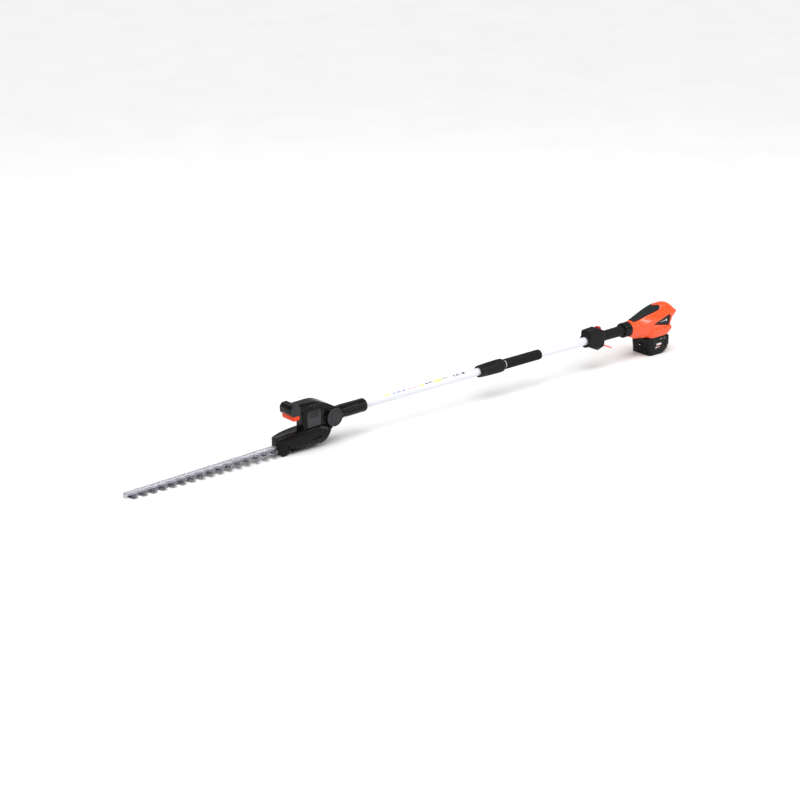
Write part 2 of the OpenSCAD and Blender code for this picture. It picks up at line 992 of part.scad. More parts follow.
module bar_bolts() {
    color(steel) at_head() {
        bar_bolt_places() rod_z(2.5, -62, bar_top);
        bar_bolt_places() rod_z(4.6, -64, -61);
        for (i = [0 : 5])
            translate([first_bolt + i * bolt_pitch, 0, 0])
                rod_z(4.4, bar_top, bar_top + 2);
    }
}

// One flat blade; shift is where it stands from the middle of its stroke.
module blade(shift, z) {
    spine = 9;
    tail = 23;
    window = throw + stroke_side + eccentric_r;
    tail_end = crank_x + window + 6;
    tail_start = crank_x - window - 6;
    tip = first_tooth - (tooth_count - 1) * tooth_pitch;
    edge = concat(
        [[tip - 7.5, -spine], [tip - 7.5, -spine - 0.1]],
        [for (i = [tooth_count - 1 : -1 : 0])
            let (x = first_tooth - i * tooth_pitch)
                each [[x - 7.4, -spine], [x - 3.2, -tooth_reach], [x + 3.2, -tooth_reach],
                    [x + 7.4, -spine]]],
        [[tail_start - 12, -spine], [tail_start, -tail], [tail_end, -tail]]
    );
    outline = concat(
        [for (i = [2 : len(edge) - 1]) edge[i]],
        [for (i = [len(edge) - 1 : -1 : 2]) [edge[i][0], -edge[i][1]]]
    );
    translate([shift, 0, z])
        difference() {
            linear_extrude(height = blade_t) polygon(outline);
            box([crank_x - window, crank_x + window],
                [-eccentric_r - stroke_side, eccentric_r + stroke_side], [-1, 5]);
            bar_bolt_places() bolt_slot();
        }
}

module bolt_slot() {
    half = throw + gap;
    box([-half, half], [-2.9, 2.9], [-1, 5]);
    for (s = [-1, 1])
        rod_z(2.9, -1, 5, [s * half, 0]);
}

module upper_blade() color(steel) at_head() blade(blade_rest, upper_z);

module lower_blade() color(steel) at_head() blade(-blade_rest, lower_z);

housing_left();
housing_right();
top_pad();
side_panels();
control_board();
terminal_block();
battery_guide();
housing_screws();
rear_collar();
rear_grip();
trigger_housing_left();
trigger_housing_right();
trigger_housing_screws();
trigger_pin();
switch_body();
outer_tube();
foam_grip();
clamp_collet();
pole_lead();
trigger_lever();
lock_off_button();
lock_off_spring();
clamp_nut();
battery_case_lower();
battery_case_upper();
battery_cells();
cell_holder();
battery_contacts();
battery_latch();
gauge_button();
inner_tube();
tube_end_bush();
bracket_left();
bracket_right();
bracket_screws();
lock_ring();
head_lead();
upper_case_left();
upper_case_right();
lower_case();
blade_guard();
t_bar();
pivot_cap_left();
pivot_cap_right();
pivot_bolt();
motor_can();
gearbox_plate();
blade_bar();
bar_bolts();
head_screws();
tilt_lever();
tilt_spring();
lock_pawl();
motor_rotor();
crank_gear();
upper_blade();
lower_blade();
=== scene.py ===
import json
import math

import bmesh
import bpy
from mathutils import Matrix, Vector


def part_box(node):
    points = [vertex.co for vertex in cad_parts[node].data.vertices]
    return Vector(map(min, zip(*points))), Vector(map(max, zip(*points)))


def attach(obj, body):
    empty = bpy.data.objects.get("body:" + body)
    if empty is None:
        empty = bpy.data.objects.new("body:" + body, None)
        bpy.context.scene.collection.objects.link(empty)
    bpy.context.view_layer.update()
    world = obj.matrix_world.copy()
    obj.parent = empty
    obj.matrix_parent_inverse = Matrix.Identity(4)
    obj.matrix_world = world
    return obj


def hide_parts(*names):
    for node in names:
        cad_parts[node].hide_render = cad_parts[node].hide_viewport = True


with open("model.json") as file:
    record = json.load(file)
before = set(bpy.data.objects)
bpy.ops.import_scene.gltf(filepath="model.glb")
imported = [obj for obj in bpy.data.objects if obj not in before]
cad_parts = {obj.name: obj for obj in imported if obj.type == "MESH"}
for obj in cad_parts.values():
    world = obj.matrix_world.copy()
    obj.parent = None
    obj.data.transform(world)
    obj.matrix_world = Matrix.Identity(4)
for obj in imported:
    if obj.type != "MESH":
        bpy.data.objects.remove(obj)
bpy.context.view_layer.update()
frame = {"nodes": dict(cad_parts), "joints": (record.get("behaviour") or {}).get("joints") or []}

bl_info = {
    "name": "Pole hedge trimmer",
    "version": (1, 0, 0),
    "blender": (4, 5, 0),
    "location": "View3D > Sidebar > Hedge trimmer",
    "description": "Builds a battery pole hedge trimmer round its jointed frame",
    "category": "Add Mesh",
}


# ---------- places, taken from the frame ----------

def joint(name):
    """The record's joint of that name."""
    return next(entry for entry in frame["joints"] if entry["name"] == name)


def box_middle(node):
    low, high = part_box(node)
    return (low + high) / 2


def axis_of(name):
    return Vector(joint(name)["axis"]).normalized()


MM = Matrix.Scale(0.001, 4)
AXIS_Z = box_middle("outer_tube").z
PIVOT = box_middle("pivot_bolt")
ALONG_BLADE = axis_of("upper_blade_stroke")
if ALONG_BLADE.x < 0:
    ALONG_BLADE.negate()
DROOP = math.atan2(ALONG_BLADE.z, ALONG_BLADE.x)

# Each space takes millimetres to the frame's metres.
BATTERY = MM.copy()
POLE = Matrix.Translation((0, 0, AXIS_Z)) @ MM
PIVOTED = Matrix.Translation(PIVOT) @ MM
HEAD = Matrix.Translation(PIVOT) @ Matrix.Rotation(-DROOP, 4, "Y") @ MM


# ---------- outlines ----------

def curve_points(a, b, c, d, steps):
    """Points along a cubic curve from a to d."""
    points = []
    for i in range(steps + 1):
        t = i / steps
        s = 1 - t
        points.append(tuple(
            s**3 * a[k] + 3 * s * s * t * b[k] + 3 * s * t * t * c[k] + t**3 * d[k]
            for k in (0, 1)))
    return points


def mirrored(half):
    """A plan outline, symmetric about the X axis, from rising (x, half width) pairs."""
    return [(x, -w) for x, w in half] + [(x, w) for x, w in reversed(half)]


def both_sides(half):
    """An upright outline, symmetric about the Z axis, from rising (half width, z) pairs."""
    return list(half) + [(-w, z) for w, z in reversed(half)]


def round_corners(outline, radius, steps=4):
    """The outline with each corner turned on an arc that touches both of its sides."""
    result = []
    count = len(outline)
    for i, here in enumerate(outline):
        here = Vector(here)
        before = Vector(outline[i - 1]) - here
        after = Vector(outline[(i + 1) % count]) - here
        reach = min(radius, before.length * 0.45, after.length * 0.45)
        start = here + before.normalized() * reach
        end = here + after.normalized() * reach
        for k in range(steps + 1):
            t = k / steps
            result.append(tuple(start * (1 - t) ** 2 + here * 2 * t * (1 - t) + end * t * t))
    return result


def rounded_box(x, y, radius, steps=4):
    return round_corners([(x[0], y[0]), (x[1], y[0]), (x[1], y[1]), (x[0], y[1])], radius, steps)


def catmull(rows, steps):
    """Smooth rows of numbers between the given ones, which all lie on the result."""
    result = []
    for i in range(len(rows) - 1):
        p0 = rows[max(i - 1, 0)]
        p1, p2 = rows[i], rows[i + 1]
        p3 = rows[min(i + 2, len(rows) - 1)]
        for k in range(steps):
            t = k / steps
            result.append(tuple(
                0.5 * (2 * b + (c - a) * t + (2 * a - 5 * b + 4 * c - d) * t * t
                       + (3 * b - a - 3 * c + d) * t**3)
                for a, b, c, d in zip(p0, p1, p2, p3)))
    result.append(tuple(rows[-1]))
    return result


# ---------- meshes ----------

def link(name, mesh):
    piece = bpy.data.objects.new(name, mesh)
    bpy.context.scene.collection.objects.link(piece)
    return piece


def from_points(name, points, faces, space):
    """A closed mesh from points in the space's millimetres, with its normals outward."""
    mesh = bpy.data.meshes.new(name)
    mesh.from_pydata([space @ Vector(p) for p in points], [], faces)
    tidy_mesh(mesh, 1e-6)
    return link(name, mesh)


def tidy_mesh(mesh, distance):
    work = bmesh.new()
    work.from_mesh(mesh)
    bmesh.ops.remove_doubles(work, verts=work.verts, dist=distance)
    bmesh.ops.dissolve_degenerate(work, edges=work.edges, dist=distance * 0.5)
    bmesh.ops.recalc_face_normals(work, faces=work.faces)
    work.to_mesh(mesh)
    work.free()


def stack(name, rings, space, closed=False):
    """A solid from rings of equally many points; both end rings are capped."""
    count = len(rings[0])
    points = [p for ring in rings for p in ring]
    faces = []
    spans = len(rings) if closed else len(rings) - 1
    for i in range(spans):
        a, b = i * count, ((i + 1) % len(rings)) * count
        for k in range(count):
            n = (k + 1) % count
            faces.append((a + k, a + n, b + n, b + k))
    if not closed:
        faces.append(tuple(range(count))[::-1])
        faces.append(tuple(range(len(points) - count, len(points))))
    return from_points(name, points, faces, space)


def side_slab(name, outline, y0, y1, space):
    """A solid from an (x, z) outline between two y values."""
    return stack(name, [[(x, y, z) for x, z in outline] for y in (y0, y1)], space)


def plan_slab(name, outline, z0, z1, space):
    return stack(name, [[(x, y, z) for x, y in outline] for z in (z0, z1)], space)


def front_slab(name, outline, x0, x1, space):
    return stack(name, [[(x, y, z) for y, z in outline] for x in (x0, x1)], space)


def block(name, x, y, z, space):
    return plan_slab(name, [(x[0], y[0]), (x[1], y[0]), (x[1], y[1]), (x[0], y[1])],
                     z[0], z[1], space)


def turned(name, profile, space, axis="x", centre=(0, 0, 0), sides=64):
    """A solid of revolution from (distance along the axis, radius) pairs.

    A profile that starts and ends at radius 0 is closed at its poles; any other profile is
    taken as a ring's closed section.
    """
    rings = []
    solid = profile[0][1] == 0
    inner = profile[1:-1] if solid else profile
    cx, cy, cz = centre
    for i in range(sides):
        angle = math.tau * i / sides
        c, s = math.cos(angle), math.sin(angle)
        ring = []
        for along, r in (profile if not solid else inner):
            if axis == "x":
                ring.append((cx + along, cy + r * c, cz + r * s))
            elif axis == "y":
                ring.append((cx + r * s, cy + along, cz + r * c))
            else:
                ring.append((cx + r * c, cy + r * s, cz + along))
        rings.append(ring)
    if not solid:
        return stack(name, rings, space, closed=True)
    points = [p for ring in rings for p in ring]
    count = len(inner)
    faces = []
    for i in range(sides):
        a, b = i * count, ((i + 1) % sides) * count
        for k in range(count - 1):
            faces.append((a + k, a + k + 1, b + k + 1, b + k))
    for end, index in ((profile[0], 0), (profile[-1], count - 1)):
        along = end[0]
        pole = {"x": (cx + along, cy, cz), "y": (cx, cy + along, cz),
                "z": (cx, cy, cz + along)}[axis]
        points.append(pole)
        last = len(points) - 1
        for i in range(sides):
            faces.append((i * count + index, ((i + 1) % sides) * count + index, last))
    return from_points(name, points, faces, space)


def sweep(name, path, radius, space, sides=12):
    """A round rod along a path of points."""
    rings = []
    up = Vector((0, 0, 1))
    for i, point in enumerate(path):
        ahead = Vector(path[min(i + 1, len(path) - 1)]) - Vector(path[max(i - 1, 0)])
        ahead.normalize()
        across = ahead.cross(up if abs(ahead.z) < 0.9 else Vector((0, 1, 0))).normalized()
        lift = across.cross(ahead)
        rings.append([tuple(Vector(point) + radius * (across * math.cos(math.tau * k / sides)
                                                      + lift * math.sin(math.tau * k / sides)))
                      for k in range(sides)])
    return stack(name, rings, space)


def apply_all(piece):
    """Turns the piece, with its modifiers, into a plain mesh."""
    depsgraph = bpy.context.evaluated_depsgraph_get()
    depsgraph.update()
    made = bpy.data.meshes.new_from_object(piece.evaluated_get(depsgraph), depsgraph=depsgraph)
    old = piece.data
    piece.modifiers.clear()
    piece.data = made
    made.name = piece.name
    if old.users == 0:
        bpy.data.meshes.remove(old)
    return piece


def combine(piece, others, operation, solver="MANIFOLD"):
    """Joins, cuts or keeps the common part, and uses the other solids up."""
    for other in (others if isinstance(others, (list, tuple)) else [others]):
        tool = piece.modifiers.new("combine", "BOOLEAN")
        tool.operation = operation
        tool.solver = solver
        tool.object = other
        apply_all(piece)
        if not piece.data.polygons:
            raise RuntimeError(f"{piece.name} was emptied by {other.name}")
        bpy.data.objects.remove(other)
    return piece


def join(piece, *others):
    return combine(piece, others, "UNION")


def cut(piece, *others):
    return combine(piece, others, "DIFFERENCE")


def keep(piece, *others):
    return combine(piece, others, "INTERSECT")


def copy_of(piece, name):
    twin = piece.copy()
    twin.data = piece.data.copy()
    twin.name = name
    bpy.context.scene.collection.objects.link(twin)
    return twin


def grown(piece, name, amount):
    """A copy with its surface moved outwards by so many millimetres."""
    twin = copy_of(piece, name)
    tool = twin.modifiers.new("grow", "DISPLACE")
    tool.strength = amount * 0.001
    tool.mid_level = 0
    return apply_all(twin)


def moulded(piece, voxel=0.9, rounds=4, thin=0.5):
    """Gives a solid the small even edge radius of a moulding."""
    remesh = piece.modifiers.new("remesh", "REMESH")
    remesh.mode = "VOXEL"
    remesh.voxel_size = voxel * 0.001 * 1
    smooth = piece.modifiers.new("smooth", "SMOOTH")
    smooth.factor = 0.5
    smooth.iterations = rounds
    if thin < 1:
        reduce = piece.modifiers.new("reduce", "DECIMATE")
        reduce.ratio = thin
    return shade_smooth(apply_all(piece), 180)


def bevelled(piece, width, segments=3, limit=30):
    """Rounds the solid's sharp edges with a small bevel."""
    tool = piece.modifiers.new("bevel", "BEVEL")
    tool.width = width * 0.001
    tool.segments = segments
    tool.limit_method = "ANGLE"
    tool.angle_limit = math.radians(limit)
    tool.use_clamp_overlap = True
    return shade_smooth(apply_all(piece), 35)


def subdivided(piece, levels=2):
    tool = piece.modifiers.new("subdivide", "SUBSURF")
    tool.levels = tool.render_levels = levels
    return apply_all(piece)


def shade_smooth(piece, angle):
    mesh = piece.data
    mesh.shade_smooth()
    if angle < 180:
        mesh.set_sharp_from_angle(angle=math.radians(angle))
    return piece


def merge(name, pieces):
    """One object from several that share a body and a finish."""
    work = bmesh.new()
    for piece in pieces:
        work.from_mesh(piece.data)
    mesh = bpy.data.meshes.new(name)
    work.to_mesh(mesh)
    work.free()
    for material in pieces[0].data.materials:
        mesh.materials.append(material)
    for piece in pieces:
        bpy.data.objects.remove(piece)
    return link(name, mesh)


def cad_copy(node, name):
    """A welded copy of a CAD node's mesh with its flat faces made whole again."""
    twin = frame["nodes"][node].copy()
    twin.data = frame["nodes"][node].data.copy()
    twin.name = name
    twin.parent = None
    for key in list(twin.keys()):
        if key.startswith("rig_"):
            del twin[key]
    bpy.context.scene.collection.objects.link(twin)
    work = bmesh.new()
    work.from_mesh(twin.data)
    bmesh.ops.remove_doubles(work, verts=work.verts, dist=2e-6)
    bmesh.ops.dissolve_limit(work, angle_limit=math.radians(1.0), verts=work.verts,
                             edges=work.edges)
    work.to_mesh(twin.data)
    work.free()
    twin.data.materials.clear()
    return twin


def finished(piece, body, slot, material, *nodes):
    """Gives the piece its finish, hangs it on its body and stands it in for its CAD nodes."""
    piece.data.materials.clear()
    piece.data.materials.append(material)
    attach(piece, body)
    if nodes:
        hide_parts(*nodes)
    return piece


# ---------- finishes ----------

class Value:
    """A shader number that ordinary arithmetic works on."""

    def __init__(self, finish, socket):
        self.finish = finish
        self.socket = socket

    def _math(self, operation, first, second):
        node = self.finish.node("ShaderNodeMath", {"operation": operation},
                                {0: first, 1: second})
        return Value(self.finish, node.outputs[0])

    def __add__(self, other):
        return self._math("ADD", self, other)

    __radd__ = __add__

    def __sub__(self, other):
        return self._math("SUBTRACT", self, other)

    def __rsub__(self, other):
        return self._math("SUBTRACT", other, self)

    def __mul__(self, other):
        return self._math("MULTIPLY", self, other)

    __rmul__ = __mul__

    def __lt__(self, other):
        return self._math("LESS_THAN", self, other)

    def __abs__(self):
        return self._math("ABSOLUTE", self, 0.0)


class Finish:
    """One procedural material and the means to build it."""

    def __init__(self, name):
        self.material = bpy.data.materials.new(name)
        self.material.use_nodes = True
        self.tree = self.material.node_tree
        self.tree.nodes.clear()
        self.place = self.node("ShaderNodeTexCoord").outputs["Object"]

    def node(self, kind, settings=None, inputs=None):
        node = self.tree.nodes.new(kind)
        for key, value in (settings or {}).items():
            setattr(node, key, value)
        for key, value in (inputs or {}).items():
            self.feed(node.inputs[key], value)
        return node

    def feed(self, socket, value):
        if isinstance(value, Value):
            value = value.socket
        if isinstance(value, bpy.types.NodeSocket):
            self.tree.links.new(value, socket)
        else:
            socket.default_value = value

    def stretched(self, stretch):
        mapping = self.node("ShaderNodeMapping", {"vector_type": "POINT"},
                            {"Vector": self.place, "Scale": stretch})
        return mapping.outputs[0]

    def noise(self, scale, detail=3.0, stretch=None):
        where = self.stretched(stretch) if stretch else self.place
        node = self.node("ShaderNodeTexNoise", {"noise_dimensions": "3D"},
                         {"Vector": where, "Scale": scale, "Detail": detail})
        return Value(self, node.outputs[0])

    def cells(self, scale, stretch=None):
        where = self.stretched(stretch) if stretch else self.place
        node = self.node("ShaderNodeTexVoronoi", {"feature": "F1"},
                         {"Vector": where, "Scale": scale})
        return Value(self, node.outputs["Distance"])

    def ranged(self, value, low, high, to_low=0.0, to_high=1.0):
        node = self.node("ShaderNodeMapRange", {"interpolation_type": "SMOOTHSTEP"},
                         {"Value": value, "From Min": low, "From Max": high,
                          "To Min": to_low, "To Max": to_high})
        return Value(self, node.outputs[0])

    def along(self, index):
        node = self.node("ShaderNodeSeparateXYZ", None, {0: self.place})
        return Value(self, node.outputs[index])

    def edges(self):
        """One on raised edges, nought elsewhere."""
        point = self.node("ShaderNodeNewGeometry").outputs["Pointiness"]
        return self.ranged(Value(self, point), 0.53, 0.62)

    def mixed(self, factor, a, b):
        node = self.node("ShaderNodeMix", {"data_type": "RGBA"}, {0: factor, 6: a, 7: b})
        return node.outputs[2]

    def bump(self, height, distance, strength=1.0, under=None):
        inputs = {"Height": height, "Distance": distance, "Strength": strength}
        if under is not None:
            inputs["Normal"] = under
        return self.node("ShaderNodeBump", None, inputs).outputs[0]

    def finish(self, **inputs):
        shader = self.node("ShaderNodeBsdfPrincipled", None,
                           {key.replace("_", " "): value for key, value in inputs.items()})
        output = self.node("ShaderNodeOutputMaterial")
        self.tree.links.new(shader.outputs[0], output.inputs[0])
        return self.material


def shade(colour, factor):
    return tuple(min(1.0, c * factor) for c in colour[:3]) + (1.0,)


def gloss_plastic(name, colour, roughness, grain=0.00002, seam=False, coat=0.05,
                  specular=0.14):
    """Polished moulding: faint flow marks, dust in scattered patches and rubbed edges."""
    f = Finish(name)
    flow = f.noise(9.0, 2.0)
    dust = f.noise(160.0, 5.0)
    base = f.mixed(flow, shade(colour, 0.9), shade(colour, 1.06))
    base = f.mixed(f.edges() * dust * 0.5, base, shade(colour, 1.5))
    base = f.mixed(f.ranged(dust, 0.58, 0.75, 0.0, 0.07), base, (0.5, 0.47, 0.42, 1.0))
    height = f.noise(420.0, 3.0)
    if seam:
        line = abs(f.along(1)) < 0.00035
        base = f.mixed(line, base, shade(colour, 0.25))
        height = height - line * 3.0
    rough = f.ranged(dust, 0.3, 0.7, roughness - 0.04, roughness + 0.07)
    return f.finish(Base_Color=base, Roughness=rough, Coat_Weight=coat, Coat_Roughness=0.06,
                    IOR=1.46, Specular_IOR_Level=specular, Normal=f.bump(height, grain, 0.5))


def grained_plastic(name, colour, roughness, scale=1500.0, depth=0.00009):
    """Spark-eroded moulding: an even fine grain, worn smooth on its edges."""
    f = Finish(name)
    grain = f.cells(scale)
    patches = f.noise(28.0, 4.0)
    base = f.mixed(patches, shade(colour, 0.82), shade(colour, 1.2))
    base = f.mixed(f.edges() * f.noise(220.0, 4.0) * 0.7, base, shade(colour, 2.4))
    base = f.mixed(f.ranged(f.noise(420.0, 6.0), 0.56, 0.75, 0.0, 0.10), base,
                   (0.32, 0.3, 0.27, 1.0))
    rough = f.ranged(patches, 0.3, 0.7, roughness - 0.05, roughness + 0.06)
    return f.finish(Base_Color=base, Roughness=rough, IOR=1.46, Specular_IOR_Level=0.16,
                    Normal=f.bump(grain + 0.4 * f.noise(90.0, 2.0), depth, 0.6))


def soft_rubber(name, colour):
    """Soft overmoulded grip: rows of fine dimples and a dry sheen."""
    f = Finish(name)
    dimples = f.cells(620.0)
    patches = f.noise(40.0, 4.0)
    base = f.mixed(patches, shade(colour, 0.85), shade(colour, 1.15))
    base = f.mixed(f.ranged(f.noise(500.0, 5.0), 0.55, 0.72, 0.0, 0.14), base,
                   (0.2, 0.2, 0.19, 1.0))
    rough = f.ranged(patches, 0.3, 0.7, 0.66, 0.8)
    return f.finish(Base_Color=base, Roughness=rough, Specular_IOR_Level=0.25,
                    Normal=f.bump(f.ranged(dimples, 0.15, 0.45), 0.00016, 0.7))


def closed_foam(name, colour):
    """Closed-cell foam sleeve: open pores, painted darker inside as painted shade in the pits, and
    a mottled skin.
    """
    f = Finish(name)
    pores = f.cells(900.0)
    coarse = f.noise(140.0, 5.0)
    pits = f.ranged(pores, 0.05, 0.35)
    base = f.mixed(coarse, shade(colour, 0.7), shade(colour, 1.5))
    # darker pore centres: painted shade in the pits, not a colour of the foam
    base = f.mixed(pits, shade(colour, 0.45), base)
    rough = f.ranged(coarse, 0.3, 0.7, 0.82, 0.95)
    normal = f.bump(pits, 0.0003, 0.8, f.bump(coarse, 0.0009, 0.5))
    return f.finish(Base_Color=base, Roughness=rough, Specular_IOR_Level=0.2, Normal=normal)


def powder_coat(name, colour):
    """White powder coat on tube: orange peel, long rub marks and a little grime."""
    f = Finish(name)
    peel = f.noise(520.0, 2.0)
    streaks = f.noise(60.0, 4.0, (0.06, 1.0, 1.0))
    specks = f.noise(700.0, 4.0)
    base = f.mixed(streaks, shade(colour, 0.94), shade(colour, 1.04))
    base = f.mixed(f.ranged(specks, 0.63, 0.74, 0.0, 0.22), base, (0.42, 0.42, 0.46, 1.0))
    rough = f.ranged(streaks, 0.35, 0.7, 0.24, 0.36)
    return f.finish(Base_Color=base, Roughness=rough, Coat_Weight=0.2, Coat_Roughness=0.15,
                    Normal=f.bump(peel, 0.00005, 0.5))


def brushed_metal(name, colour, roughness, stretch, metallic=1.0, tint=0.25):
    """Metal with its grain in one direction, a few scratches and handling marks."""
    f = Finish(name)
    grain = f.noise(900.0, 4.0, stretch)
    scratches = f.noise(330.0, 6.0, tuple(0.4 if s == min(stretch) else 1.6 for s in stretch))
    smears = f.noise(18.0, 4.0)
    base = f.mixed(grain, shade(colour, 1.0 - tint), shade(colour, 1.0 + tint * 0.5))
    base = f.mixed(f.ranged(smears, 0.5, 0.8, 0.0, 0.3), base, shade(colour, 0.62))
    rough = f.ranged(grain + 0.6 * (smears - 0.5), 0.3, 0.75, roughness - 0.08, roughness + 0.14)
    return f.finish(Base_Color=base, Roughness=rough, Metallic=metallic,
                    Normal=f.bump(grain + 0.5 * f.ranged(scratches, 0.6, 0.7), 0.00003, 0.6))


def zinc(name, colour):
    """Passivated zinc: spangled, slightly yellowed and dull in patches."""
    f = Finish(name)
    spangle = f.cells(420.0)
    patches = f.noise(120.0, 4.0)
    base = f.mixed(spangle, shade(colour, 0.8), shade(colour, 1.1))
    base = f.mixed(f.ranged(patches, 0.5, 0.75, 0.0, 0.35), base, (0.52, 0.47, 0.36, 1.0))
    rough = f.ranged(patches, 0.3, 0.7, 0.28, 0.46)
    return f.finish(Base_Color=base, Roughness=rough, Metallic=1.0,
                    Normal=f.bump(spangle, 0.00003, 0.5))


def circuit_board(name, colour):
    """Solder mask with pale tracks and plated pads."""
    f = Finish(name)
    tracks = abs(f.noise(150.0, 1.0, (1.0, 0.3, 1.0)) - 0.5)
    pads = f.cells(260.0)
    base = f.mixed(f.ranged(tracks, 0.0, 0.03), shade(colour, 1.9), shade(colour, 1.0))
    plated = f.ranged(pads, 0.1, 0.16, 1.0, 0.0)
    base = f.mixed(plated, base, (0.75, 0.62, 0.3, 1.0))
    return f.finish(Base_Color=base, Roughness=0.4, Metallic=plated,
                    Normal=f.bump(tracks, 0.00005, 0.5))


def shrink_wrap(name, colour):
    """Thin printed sleeve round a cell, wrinkled at its ends."""
    f = Finish(name)
    wrinkles = f.noise(240.0, 4.0, (1.0, 3.0, 1.0))
    ends = f.ranged(abs(f.along(1)), 0.0315, 0.0322)
    base = f.mixed(wrinkles, shade(colour, 0.85), shade(colour, 1.1))
    base = f.mixed(ends, base, (0.62, 0.62, 0.64, 1.0))
    return f.finish(Base_Color=base, Roughness=f.ranged(wrinkles, 0.3, 0.7, 0.26, 0.4),
                    Metallic=ends, Normal=f.bump(wrinkles, 0.0001, 0.5))


def make_finishes(colours):
    """All finishes, by the record's slot names."""
    linear = {key: tuple(getattr(colours, key)) + (1.0,) for key in COLOURS}
    lengthwise = (0.03, 1.0, 1.0)
    return {
        "orange_shell": gloss_plastic("orange_shell", linear["orange"], 0.26, seam=True, coat=0.4,
                                      specular=0.4),
        "black_shell": gloss_plastic("black_shell", linear["black"], 0.2, 0.000012),
        "matte_black": grained_plastic("matte_black", linear["matte"], 0.5),
        "satin_black": grained_plastic("satin_black", linear["satin"], 0.36, 2200.0, 0.00004),
        "grey_disc": grained_plastic("grey_disc", linear["disc"], 0.46, 1300.0, 0.00008),
        "soft_pad": soft_rubber("soft_pad", linear["pad"]),
        "foam": closed_foam("foam", linear["foam"]),
        "white_paint": powder_coat("white_paint", linear["paint"]),
        "blade_steel": brushed_metal("blade_steel", linear["blade"], 0.3, (1.0, 0.05, 1.0)),
        "bar_alloy": brushed_metal("bar_alloy", linear["bar"], 0.34, lengthwise, 0.75, 0.12),
        "fastener_steel": zinc("fastener_steel", linear["steel"]),
        "bare_steel": brushed_metal("bare_steel", linear["steel"], 0.3, (1.0, 1.0, 0.06)),
        "trigger_orange": gloss_plastic("trigger_orange", linear["trigger"], 0.36, 0.00003),
        "button_red": gloss_plastic("button_red", linear["red"], 0.34, 0.00003),
        "grey_plastic": grained_plastic("grey_plastic", linear["grey"], 0.5),
        "board": circuit_board("board", linear["board"]),
        "contact_brass": brushed_metal("contact_brass", linear["brass"], 0.25, (1.0, 1.0, 0.1)),
        "cell_wrap": shrink_wrap("cell_wrap", linear["wrap"]),
        "natural_plastic": grained_plastic("natural_plastic", linear["natural"], 0.45),
        "lead_rubber": soft_rubber("lead_rubber", linear["matte"]),
        "mark_light": grained_plastic("mark_light", linear["mark_light"], 0.45, 900.0, 0.00002),
        "mark_yellow": grained_plastic("mark_yellow", linear["mark_yellow"], 0.4, 900.0, 0.00002),
        "mark_blue": grained_plastic("mark_blue", linear["mark_blue"], 0.4, 900.0, 0.00002),
        "mark_dark": grained_plastic("mark_dark", linear["mark_dark"], 0.4, 900.0, 0.00002),
    }


FINISHES = {}


# ---------- things that repeat ----------

def new_tree(name, inputs):
    """An empty geometry tree with its sockets; returns the tree and their identifiers."""
    tree = bpy.data.node_groups.new(name, "GeometryNodeTree")
    tree.interface.new_socket("Geometry", in_out="OUTPUT", socket_type="NodeSocketGeometry")
    keys = {}
    for title, kind in inputs:
        socket = tree.interface.new_socket(title, in_out="INPUT", socket_type=kind)
        keys[title] = socket.identifier
    return tree, keys


def spread_tree(kind):
    """Copies of a shape in a straight row, or turned in even steps about a centre."""
    tree, keys = new_tree(kind, [
        ("Shape", "NodeSocketObject"), ("Count", "NodeSocketInt"),
        ("Start", "NodeSocketVector"), ("Step", "NodeSocketVector"),
        ("Angle", "NodeSocketFloat"), ("Material", "NodeSocketMaterial")])
    nodes, wire = tree.nodes, tree.links.new
    source = nodes.new("NodeGroupInput").outputs
    shape = nodes.new("GeometryNodeObjectInfo")
    line = nodes.new("GeometryNodeMeshLine")
    spread = nodes.new("GeometryNodeInstanceOnPoints")
    index = nodes.new("GeometryNodeInputIndex")
    turn = nodes.new("ShaderNodeMath")
    turn.operation = "MULTIPLY"
    rotation = nodes.new("FunctionNodeAxisAngleToRotation")
    rotation.inputs["Axis"].default_value = (1, 0, 0) if kind == "ring_about_x" else (0, 1, 0)
    realize = nodes.new("GeometryNodeRealizeInstances")
    paint = nodes.new("GeometryNodeSetMaterial")
    result = nodes.new("NodeGroupOutput")
    wire(source["Shape"], shape.inputs["Object"])
    wire(source["Count"], line.inputs["Count"])
    wire(source["Start"], line.inputs["Start Location"])
    wire(source["Step"], line.inputs["Offset"])
    wire(line.outputs["Mesh"], spread.inputs["Points"])
    wire(shape.outputs["Geometry"], spread.inputs["Instance"])
    wire(index.outputs[0], turn.inputs[0])
    wire(source["Angle"], turn.inputs[1])
    wire(turn.outputs[0], rotation.inputs["Angle"])
    wire(rotation.outputs[0], spread.inputs["Rotation"])
    wire(spread.outputs[0], realize.inputs[0])
    wire(realize.outputs[0], paint.inputs["Geometry"])
    wire(source["Material"], paint.inputs["Material"])
    wire(paint.outputs[0], result.inputs[0])
    return tree, keys


def repeated(name, shape, count, start=(0, 0, 0), step=(0, 0, 0), angle=0.0, kind="row"):
    """A plain mesh of evenly repeated copies; the shape itself is used up."""
    tree, keys = spread_tree(kind)
    piece = link(name, bpy.data.meshes.new(name))
    tool = piece.modifiers.new("repeat", "NODES")
    tool.node_group = tree
    for title, value in (("Shape", shape), ("Count", count), ("Start", start),
                         ("Step", step), ("Angle", angle),
                         ("Material", FINISHES["matte_black"])):
        tool[keys[title]] = value
    apply_all(piece)
    bpy.data.objects.remove(shape)
    bpy.data.node_groups.remove(tree)
    return piece


def in_space(space, vector):
    """A direction in the space's millimetres as one in metres."""
    return tuple(space.to_3x3() @ Vector(vector))


# ---------- what a user may change ----------

